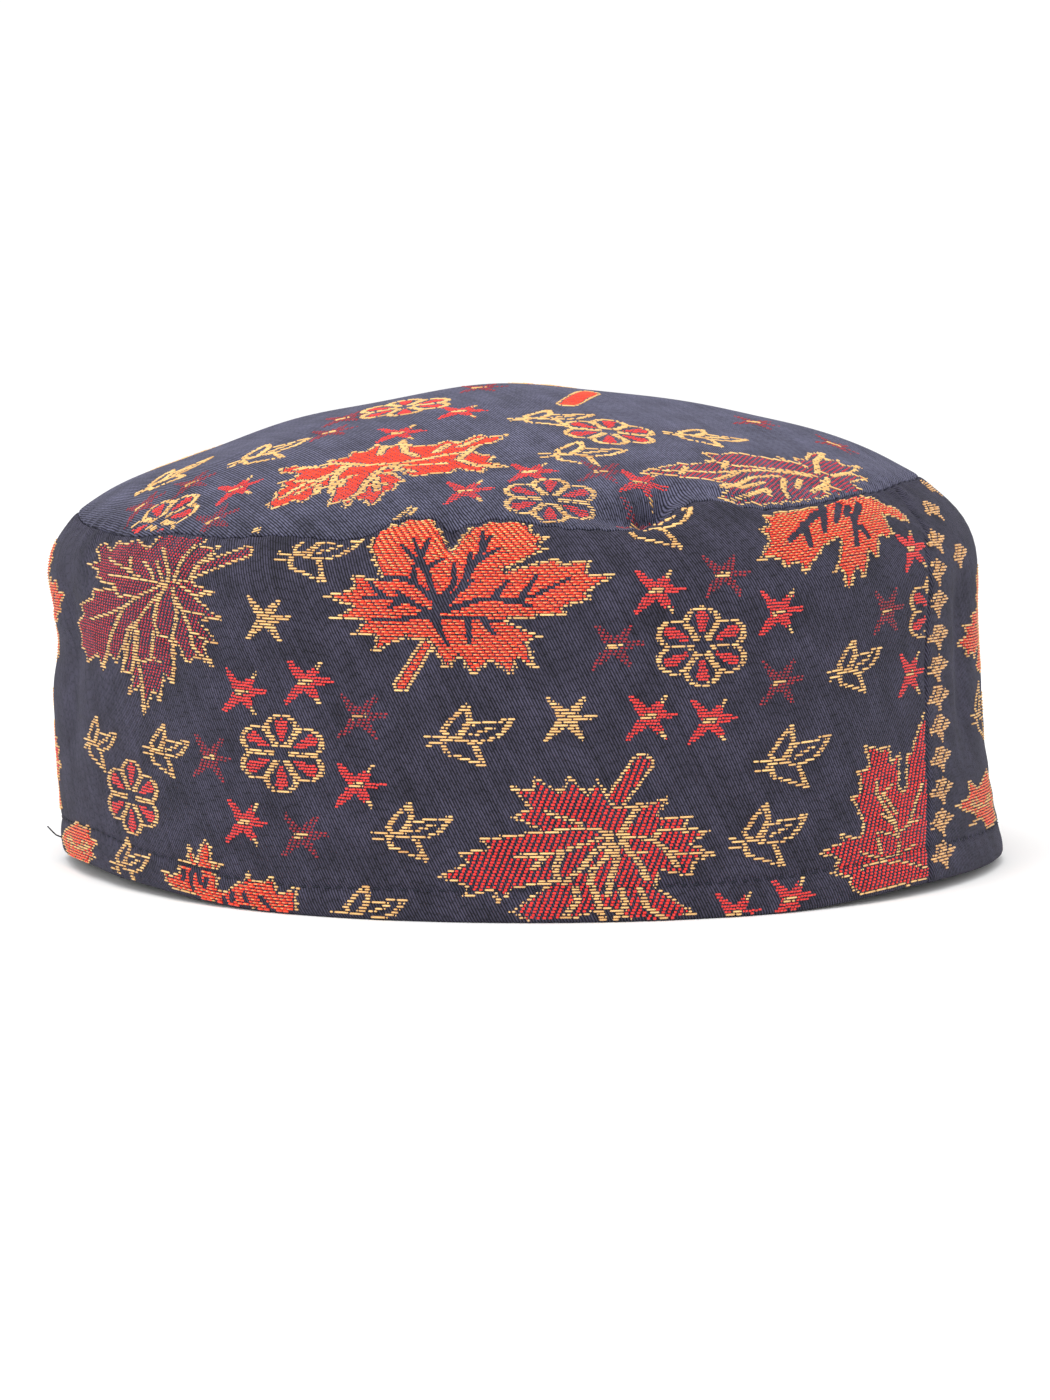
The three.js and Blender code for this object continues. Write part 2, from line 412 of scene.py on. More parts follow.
def relief(angle, level):
    point = smoothSurface(angle, level)
    along = clothRound(angle)
    height = point[..., 2] - between(rimRows, wrapped(angle)) * (1 - np.clip(level, 0, 1))
    stitchHeight = between(hemRows, wrapped(angle))
    beat = 0.75 + 0.25 * np.cos(along * 2 * math.pi / hemLine["stitch"])
    depth = hemLine["groove"] * hump(height - stitchHeight, hemLine["width"]) * beat
    depth = depth - hemLine["bulge"] * hump(height - stitchHeight * 0.48, stitchHeight * 0.36)
    fromSeam = fromCrownSeam(angle, level)
    gather = np.sin(along * 2 * math.pi / crownSeam["gatherPitch"] + 1.5 * np.sin(along / 9.0))
    depth = depth + crownSeam["groove"] * hump(fromSeam, crownSeam["width"])
    depth = depth + crownSeam["gather"] * gather * hump(fromSeam, 3.4)
    for fold in folds:
        beside = along - clothRound(fold["angle"])
        reach = hump(fromSeam - fold["offset"], fold["reach"])
        ridge = fold["swell"] * hump(beside - 2.6, 1.8)
        depth = depth + (fold["depth"] * hump(beside, fold["width"]) - ridge) * reach
    join = fromJoin(angle, level)
    onBand = smoothStep(-fromSeam, 0, 1.5)
    depth = depth + joinSeam["groove"] * hump(join, joinSeam["width"]) * onBand
    depth = depth - joinSeam["swell"] * hump(np.abs(join) - 2.3, 1.6) * onBand
    side = softWaves(along, point[..., 2], 0.6) * waves["side"] * smoothStep(height, 8, 20)
    top = softWaves(point[..., 0], point[..., 1], 2.1) * waves["crown"]
    return depth + np.where(level > 1.3, top, side + (top - side) * smoothStep(level, 1.1, 1.3))


def clothPoint(angle, level, depth=0.0, fine=1.0):
    angle, level = np.broadcast_arrays(np.asarray(angle, float), np.asarray(level, float))
    inside = depth + dentDepth(angle, level) + fine * relief(angle, level)
    return smoothSurface(angle, level) - outward(angle, level) * inside[..., None]


# Cloth length up each column, for one set of angles and levels
def clothUp(angles, levels):
    points = smoothSurface(angles[:, None], levels[None, :])
    steps = np.linalg.norm(np.diff(points, axis=1), axis=-1)
    return np.concatenate([np.zeros((len(angles), 1)), np.cumsum(steps, axis=1)], axis=1)


# One panel's outside, looked up by places on its cloth
class Panel:
    def __init__(self, reach, step, keys, fromTop):
        levels = np.linspace(0, 2, 801)
        upward = clothUp(roundAngles, levels)
        self.step = step
        self.keys = keys
        self.lengths = np.arange(0, reach + step, step)
        wanted = []
        for column in upward:
            place = column[-1] - self.lengths if fromTop else self.lengths
            wanted.append(np.interp(place, column, levels))
        self.levels = np.array(wanted)
        self.points = clothPoint(roundAngles[:, None], self.levels)
        seam = seamLevel(roundAngles)
        edge = np.array([np.interp(level, levels, column) for level, column in zip(seam, upward)])
        self.edge = upward[:, -1] - edge if fromTop else edge
        around = np.gradient(self.points, axis=0)
        rising = np.gradient(self.points, axis=1)
        normals = np.cross(around, rising)
        if fromTop:
            normals = -normals
            normals[:, :8] = (0, 0, 1)
        self.normals = unit(normals)

    # Fractional column and row of a place, then four-corner mix
    def sample(self, grid, column, row):
        left = np.clip(np.floor(column).astype(int), 0, grid.shape[0] - 2)
        low = np.clip(np.floor(row).astype(int), 0, grid.shape[1] - 2)
        x = (column - left)[..., None]
        y = np.clip(row - low, 0, 1)[..., None]
        under = grid[left, low] * (1 - x) + grid[left + 1, low] * x
        over = grid[left, low + 1] * (1 - x) + grid[left + 1, low + 1] * x
        return under * (1 - y) + over * y

    def place(self, column, length, proud):
        row = length / self.step
        point = self.sample(self.points, column, row)
        return point + unit(self.sample(self.normals, column, row)) * np.asarray(proud)[..., None]


class BandCloth(Panel):
    def __init__(self):
        super().__init__(92, 0.25, roundLengths, False)

    def column(self, x, y):
        return np.interp(x % girth, self.keys, np.arange(len(self.keys)))

    def at(self, x, y, proud=0.0):
        return self.place(self.column(x, y), y, proud + np.zeros(np.shape(x)))

    def room(self, x, y):
        column = self.column(x, y)
        return np.interp(column, np.arange(len(self.edge)), self.edge) - y


class CrownCloth(Panel):
    def __init__(self):
        plan = smoothSurface(roundAngles, 1.0)
        turns = np.degrees(np.unwrap(np.arctan2(plan[:, 1] - crownTop["y"], plan[:, 0] - crownTop["x"])))
        super().__init__(116, 0.25, turns, True)

    def column(self, x, y):
        turn = np.degrees(np.arctan2(y, x))
        low = self.keys[0]
        turn = (turn - low) % 360 + low
        return np.interp(turn, self.keys, np.arange(len(self.keys)))

    def at(self, x, y, proud=0.0):
        return self.place(self.column(x, y), np.hypot(x, y), proud + np.zeros(np.shape(x)))

    def room(self, x, y):
        column = self.column(x, y)
        return np.interp(column, np.arange(len(self.edge)), self.edge) - np.hypot(x, y)


bandCloth = BandCloth()
crownCloth = CrownCloth()
print("cloth surface is measured: girth", round(girth, 1))


# Cloth and thread finishes

groundLook = {"pitch": 0.61, "lean": 0.5, "floatLength": 2.0, "bump": 0.0003, "wobble": 0.35}
bandLook = {"dark": (3, 3, 8), "light": (93, 89, 113), "sheen": 0.06, "sheenTint": (160, 165, 195)}
# Painted light: the crown wears a lighter copy of the band's navy twill colours, lit because it faces up into the
# light
litCrownLook = {
    "dark": (6, 6, 14), "light": (131, 130, 161), "sheen": 0.26, "sheenTint": (165, 165, 200),
    "reach": (94, 82), "fade": 0.1,  # painted shade: darker towards its seam edge, where its shoulder turns from the light
}


def twillFinish(name, look):
    paint = Paint(name)
    cloth = paint.node("ShaderNodeUVMap", {"uv_map": "cloth"})
    flat = paint.node("ShaderNodeSeparateXYZ", None, {0: cloth})
    wander = paint.noise(cloth, 0.35) - 0.5
    end = (flat + flat.other(1) * groundLook["lean"]) / groundLook["pitch"] + wander * groundLook["wobble"]
    whole = end.floor()
    side = (end - whole) * 2 - 1
    chance = paint.node("ShaderNodeTexWhiteNoise", {"noise_dimensions": "1D"}, {"W": whole})
    rise = flat.other(1) / groundLook["floatLength"] + chance
    part = (rise - rise.floor()) * 2 - 1
    profile = (1 - side * side).power(1.7) * (1 - (part * part).power(3.0) * 0.6)
    slanted = paint.node("ShaderNodeCombineXYZ", None, {0: end * 0.45, 1: flat.other(1) * 0.16})
    clumps = paint.noise(slanted, 1.0, 3.0, 0.6)
    height = profile + clumps * 0.5
    bumped = paint.node("ShaderNodeBump", None, {"Strength": 0.7, "Distance": groundLook["bump"], "Height": height})
    # Random zones of stronger and weaker twill: partly the cloth's own mottling, partly painted highlight and shade
    # where light glances
    mottleAndGlintPatches = paint.noise(cloth, 0.13, 3.0, 0.6)
    broadMottleAndShade = paint.noise(cloth, 0.04, 2.0, 0.5)
    shade = profile * (mottleAndGlintPatches * 1.3 + 0.1) * 0.7 + clumps * 0.22 + broadMottleAndShade * 0.08 + chance * 0.1 - 0.2
    # Painted shade: the crown darkens towards its seam edge, where its shoulder turns away from the light
    if "fade" in look:
        across = flat / look["reach"][0]
        back = flat.other(1) / look["reach"][1]
        out = across * across + back * back
        shade = shade - out * out * look["fade"]
    color = paint.blend(shade, tint(*look["dark"]), tint(*look["light"]))
    return paint.surface({
        "Base Color": color,
        "Roughness": 0.82,
        "Specular IOR Level": 0.25,
        "Sheen Weight": look["sheen"],
        "Sheen Roughness": 0.45,
        "Sheen Tint": tint(*look["sheenTint"]),
        "Normal": bumped,
    })


def threadFinish(name, dark, light):
    paint = Paint(name)
    # The attribute holds a random tone for each float together with a painted crest highlight and tip shade
    toneAndCrestLight = paint.node("ShaderNodeAttribute", {"attribute_name": "toneAndCrestLight"}, None, 2)
    worn = paint.noise(paint.node("ShaderNodeTexCoord", None, None, 3), 140.0, 3.0, 0.6)
    shade = toneAndCrestLight + worn * 0.4 - 0.2
    color = paint.blend(shade, tint(*dark), tint(*light))
    return paint.surface({
        "Base Color": color,
        "Roughness": 0.5,
        "Specular IOR Level": 0.35,
        "Sheen Weight": 0.25,
        "Sheen Roughness": 0.4,
        "Sheen Tint": tint(255, 215, 215),
    })


def meshPiece(name, points, faces, finish, corners=None, tonesAndCrestLight=None):
    mesh = bpy.data.meshes.new(name)
    mesh.from_pydata((np.asarray(points) * mm).tolist(), [], faces.tolist() if hasattr(faces, "tolist") else faces)
    mesh.shade_smooth()
    if corners is not None:
        layer = mesh.uv_layers.new(name="cloth")
        layer.data.foreach_set("uv", np.asarray(corners, np.float32).ravel())
    if tonesAndCrestLight is not None:
        layer = mesh.attributes.new("toneAndCrestLight", "FLOAT", "POINT")
        layer.data.foreach_set("value", np.asarray(tonesAndCrestLight, np.float32))
    mesh.materials.append(finish)
    holder = bpy.data.objects.new(name, mesh)
    bpy.context.scene.collection.objects.link(holder)
    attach(holder, "root")
    return holder


# Columns of the cloth meshes: even ones, and close ones across the joining seam
columnStart = -33.5
evenTurns = np.arange(0, 360, 0.75)
closeTurns = np.concatenate([np.arange(0, 9.6, 0.12), np.arange(352, 360, 0.12)])
columnTurns = np.unique(np.round(np.concatenate([evenTurns, closeTurns]), 3))
columns = columnStart + columnTurns


# Faces between rings, with each corner's place on the cloth
def ringFaces(rows, closed, places):
    width = len(columns)
    faces = []
    corners = []
    last = rows if closed else rows - 1
    side = np.arange(width)
    after = (side + 1) % width
    for row in range(last):
        here = row * width
        there = (row + 1) % rows * width
        quads = np.stack([here + side, here + after, there + after, there + side], 1)
        faces.append(quads)
        lowUv = places[row]
        highUv = places[(row + 1) % rows]
        corners.append(np.stack([lowUv[:-1], lowUv[1:], highUv[1:], highUv[:-1]], 1))
    return np.concatenate(faces), np.concatenate(corners)


def bandRing(levelAt, depth, fine=1.0):
    level = levelAt(columns)
    around = np.append(columns, columns[0] + 360)
    ring = clothPoint(columns, level, depth, fine)
    along = clothRound(around)
    along = np.where(np.arange(len(around)) * 0 + around < 180, along, along + girth)
    up = np.interp(levelAt(around), np.linspace(0, 2, 801), meanUp)
    return ring, np.stack([along, up], 1)


meanUp = clothUp(np.array([-90.0]), np.linspace(0, 2, 801))[0]


def sideBand():
    under = panelCloth["thickness"] + panelCloth["allowanceGap"]
    thick = panelCloth["thickness"]

    def atHeight(height):
        return lambda angle: np.full(np.shape(angle), height / sideHeight)

    def atShoulder(share):
        return lambda angle: 1 + share * (seamLevel(angle) - 1)

    def pastSeam(distance):
        return lambda angle: seamLevel(angle) + distance / clothPerLevel(angle, seamLevel(angle))

    rings = []
    for height in [0, 0.5, 1.1, 1.8, 2.6, 3.4, 4.2, 4.8, 5.3, 5.8, 6.2, 6.6, 7.0, 7.4, 7.8, 8.2, 8.7, 9.3, 10]:
        rings.append((atHeight(height), 0.0 if height > 1 else (1 - height) ** 2 * 0.7))
    for height in np.arange(11.2, 60.5, 1.25):
        rings.append((atHeight(height), 0.0))
    for share in np.linspace(0, 0.82, 9):
        rings.append((atShoulder(share), 0.0))
    for distance in (-2.2, -1.7, -1.2, -0.8, -0.45, -0.15):
        rings.append((pastSeam(distance), 0.0))
    rings.append((pastSeam(0), 0.1))
    rings.append((pastSeam(0.03), 0.5))
    rings.append((pastSeam(0.06), under))
    rings.append((pastSeam(2.2), under))
    rings.append((pastSeam(5), under))
    rings.append((pastSeam(5), under + thick))
    rings.append((pastSeam(-2.2), under + thick))
    rings.append((atShoulder(0.5), thick))
    for height in (61, 54, 46, 38, 32, 26, 20, 14, 9):
        rings.append((atHeight(height), thick))
    for height, depth in ((7.4, thick), (6.6, hem["thickness"]), (3.5, hem["thickness"]), (0.8, hem["thickness"])):
        rings.append((atHeight(height), depth))
    rings.append((atHeight(0), hem["thickness"] - 0.6))
    made = [bandRing(level, depth) for level, depth in rings]
    faces, corners = ringFaces(len(made), True, [place for ring, place in made])
    points = np.concatenate([ring for ring, place in made])
    piece = meshPiece("bandCloth", points, faces, twillFinish("bandBrocade", bandLook), corners)
    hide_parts("side_band")
    return piece


def crownRing(levelAt, depth, fine=1.0):
    level = levelAt(columns)
    ring = clothPoint(columns, level, depth, fine)
    around = np.append(columns, columns[0] + 360)
    left = np.interp(wrapped(around), roundAngles, crownCloth.keys)
    levels = np.linspace(0, 2, 401)
    up = clothUp(wrapped(around), levels)
    wanted = levelAt(around)
    away = np.array([line[-1] - np.interp(value, levels, line) for value, line in zip(wanted, up)])
    turn = np.radians(left)
    return ring, np.stack([np.cos(turn) * away, np.sin(turn) * away], 1)


def crownPanel():
    thick = panelCloth["thickness"]

    def part(share):
        return lambda angle: seamLevel(angle) + share * (2 - seamLevel(angle))

    def fromEdge(distance):
        return lambda angle: seamLevel(angle) + distance / clothPerLevel(angle, seamLevel(angle))

    rings = []
    for share in np.concatenate([np.linspace(0.985, 0.2, 44), np.linspace(0.19, 0.05, 16)]):
        rings.append((part(share), 0.0))
    for distance in (2.6, 2.0, 1.5, 1.1, 0.8, 0.5, 0.3):
        rings.append((fromEdge(distance), 0.0))
    rings.append((fromEdge(0.2), 0.12))
    rings.append((fromEdge(0.16), 0.6))
    rings.append((fromEdge(0.16), thick))
    rings.append((fromEdge(2.2), thick))
    rings.append((fromEdge(5), thick))
    for share in (0.24, 0.42, 0.62, 0.84, 0.985):
        rings.append((part(share), thick))
    rings.reverse()
    made = [crownRing(level, depth) for level, depth in rings]
    faces, corners = ringFaces(len(made), False, [place for ring, place in made])
    points = np.concatenate([ring for ring, place in made])
    tips = [clothPoint(0.0, 2.0, thick), clothPoint(0.0, 2.0, 0.0)]
    width = len(columns)
    side = np.arange(width)
    after = (side + 1) % width
    inner = len(points)
    outer = inner + 1
    points = np.concatenate([points, np.array(tips)])
    last = (len(made) - 1) * width
    allFaces = faces.tolist()
    allCorners = corners.reshape(-1, 2).tolist()
    for first, second in zip(side.tolist(), after.tolist()):
        allFaces.append([inner, second, first])
        allFaces.append([outer, last + first, last + second])
    centre = [0.0, 0.0]
    innerUv = made[0][1]
    outerUv = made[-1][1]
    for first in side.tolist():
        allCorners.extend([centre, innerUv[first + 1].tolist(), innerUv[first].tolist()])
        allCorners.extend([centre, outerUv[first].tolist(), outerUv[first + 1].tolist()])
    finish = twillFinish("litCrownBrocade", litCrownLook)
    piece = meshPiece("crownCloth", points, allFaces, finish, allCorners)
    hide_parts("crown")
    return piece


bandMesh = sideBand()
crownMesh = crownPanel()
print("cloth panels are made:", len(bandMesh.data.polygons), len(crownMesh.data.polygons))


# Woven figures, charted in cloth millimetres on a grid of warp ends and weft picks

weave = {"end": 0.24, "pick": 0.59, "margin": 3}
float3d = {"sunk": 0.1, "jitter": 0.04, "shortest": 0.3}
yarnNames = ["ground", "gold", "orange", "crimson", "maroon", "dim", "dull", "red"]
gold, orange, crimson, maroon, dim, dull, red = range(1, 8)

# How each yarn is bound down, in ends: a repeat that steps from pick to pick, the starts of its floats in
# the repeat, and how many ends stay bare before the first. Then its floats' width, height and pointed ends.
bindings = {
    gold: {"repeat": 13, "step": 5, "starts": (0,), "bare": 0, "width": 0.57, "proud": 0.26, "taper": 0.28},
    orange: {"repeat": 6, "step": 2, "starts": (0,), "bare": 0, "width": 0.64, "proud": 0.22, "taper": 0.1},
    crimson: {"repeat": 5, "step": -1, "starts": (1,), "bare": 2, "width": 0.7, "proud": 0.22, "taper": 0.08},
    maroon: {"repeat": 4, "step": -1, "starts": (1,), "bare": 2, "width": 0.6, "proud": 0.2, "taper": 0.08},
    dim: {"repeat": 4, "step": -1, "starts": (1,), "bare": 1, "width": 0.6, "proud": 0.18, "taper": 0.1},
    dull: {"repeat": 9, "step": 3, "starts": (0,), "bare": 0, "width": 0.62, "proud": 0.24, "taper": 0.25},
    red: {"repeat": 3, "step": -1, "starts": (0,), "bare": 0, "width": 0.62, "proud": 0.22, "taper": 0.08},
}

# Thin gold flecks that lie over the orange fill
fleck = {"over": orange, "ends": 4, "width": 0.28, "proud": 0.37, "taper": 0.2}


def insideShape(x, y, corners):
    inside = np.zeros(x.shape, bool)
    for (ax, ay), (bx, by) in zip(corners, corners[1:] + corners[:1]):
        if ay == by:
            continue
        crossing = (ay > y) != (by > y)
        inside ^= crossing & (x < ax + (bx - ax) * (y - ay) / (by - ay))
    return inside


# Distance from a broken line, and how far along each piece of it
def fromLine(x, y, line, squeeze=1.0):
    nearest = np.full(x.shape, 1e6)
    share = np.zeros(x.shape)
    for number, ((ax, ay), (bx, by)) in enumerate(zip(line, line[1:])):
        wayX = (bx - ax) * squeeze
        wayY = by - ay
        size = max(wayX * wayX + wayY * wayY, 1e-9)
        along = np.clip(((x - ax) * squeeze * wayX + (y - ay) * wayY) / size, 0, 1)
        away = np.hypot((x - ax) * squeeze - wayX * along, y - ay - wayY * along)
        share = np.where(away < nearest, (number + along) / (len(line) - 1), share)
        nearest = np.minimum(away, nearest)
    return nearest, share


def polar(centre, turn, reach, scale=1.0):
    lean = math.radians(turn)
    return (centre[0] + math.cos(lean) * reach * scale, centre[1] + math.sin(lean) * reach * scale)


# A grid of cells over a stretch of cloth, each holding the yarn that shows there
class Chart:
    def __init__(self, left, right, low, high):
        self.x = np.arange(left, right, weave["end"]) + weave["end"] / 2
        self.y = np.arange(low, high, weave["pick"]) + weave["pick"] / 2
        self.yarn = np.zeros((len(self.y), len(self.x)), np.int8)
        self.open = np.ones(self.yarn.shape, bool)

    def window(self, points, margin=weave["margin"]):
        xs = [point[0] for point in points]
        ys = [point[1] for point in points]
        left, right = np.searchsorted(self.x, (min(xs) - margin, max(xs) + margin))
        low, high = np.searchsorted(self.y, (min(ys) - margin, max(ys) + margin))
        x, y = np.meshgrid(self.x[left:right], self.y[low:high])
        return (slice(low, high), slice(left, right)), x, y

    def put(self, place, mask, yarn):
        part = self.yarn[place]
        part[mask & self.open[place]] = yarn

    def shape(self, corners, yarn, edge=None):
        place, x, y = self.window(corners)
        if not x.size:
            return
        body = insideShape(x, y, corners)
        self.put(place, body, yarn)
        if edge is not None:
            self.put(place, fringed(body) & ~shrunk(body, 3, 1), edge)

    def stroke(self, line, yarn, half=0.34, squeeze=0.42):
        place, x, y = self.window(line)
        if not x.size:
            return
        away, share = fromLine(x, y, line, squeeze)
        self.put(place, away < half, yarn)

    # A bar that tapers from its first half width to its second
    def bar(self, line, yarn, first, second, squeeze=0.75):
        place, x, y = self.window(line)
        if not x.size:
            return
        away, share = fromLine(x, y, line, squeeze)
        self.put(place, away < first + (second - first) * share, yarn)


# A mask without its rim, some ends and picks wide
def shrunk(mask, ends, picks):
    kept = mask.copy()
    for step in range(1, ends + 1):
        kept[:, step:] &= mask[:, :-step]
        kept[:, :-step] &= mask[:, step:]
    for step in range(1, picks + 1):
        kept[step:] &= mask[:-step]
        kept[:-step] &= mask[step:]
    return kept


# A mask whose picks reach past its sides by turns
def fringed(mask, reaches=(0, 2, 1, 3, 1)):
    wider = mask.copy()
    for row in range(mask.shape[0]):
        for step in range(1, reaches[row % len(reaches)] + 1):
            wider[row, step:] |= mask[row, :-step]
            wider[row, :-step] |= mask[row, step:]
    return wider


# Leaves: outline, ribs and stem as (turn, reach) from the leaf's heart

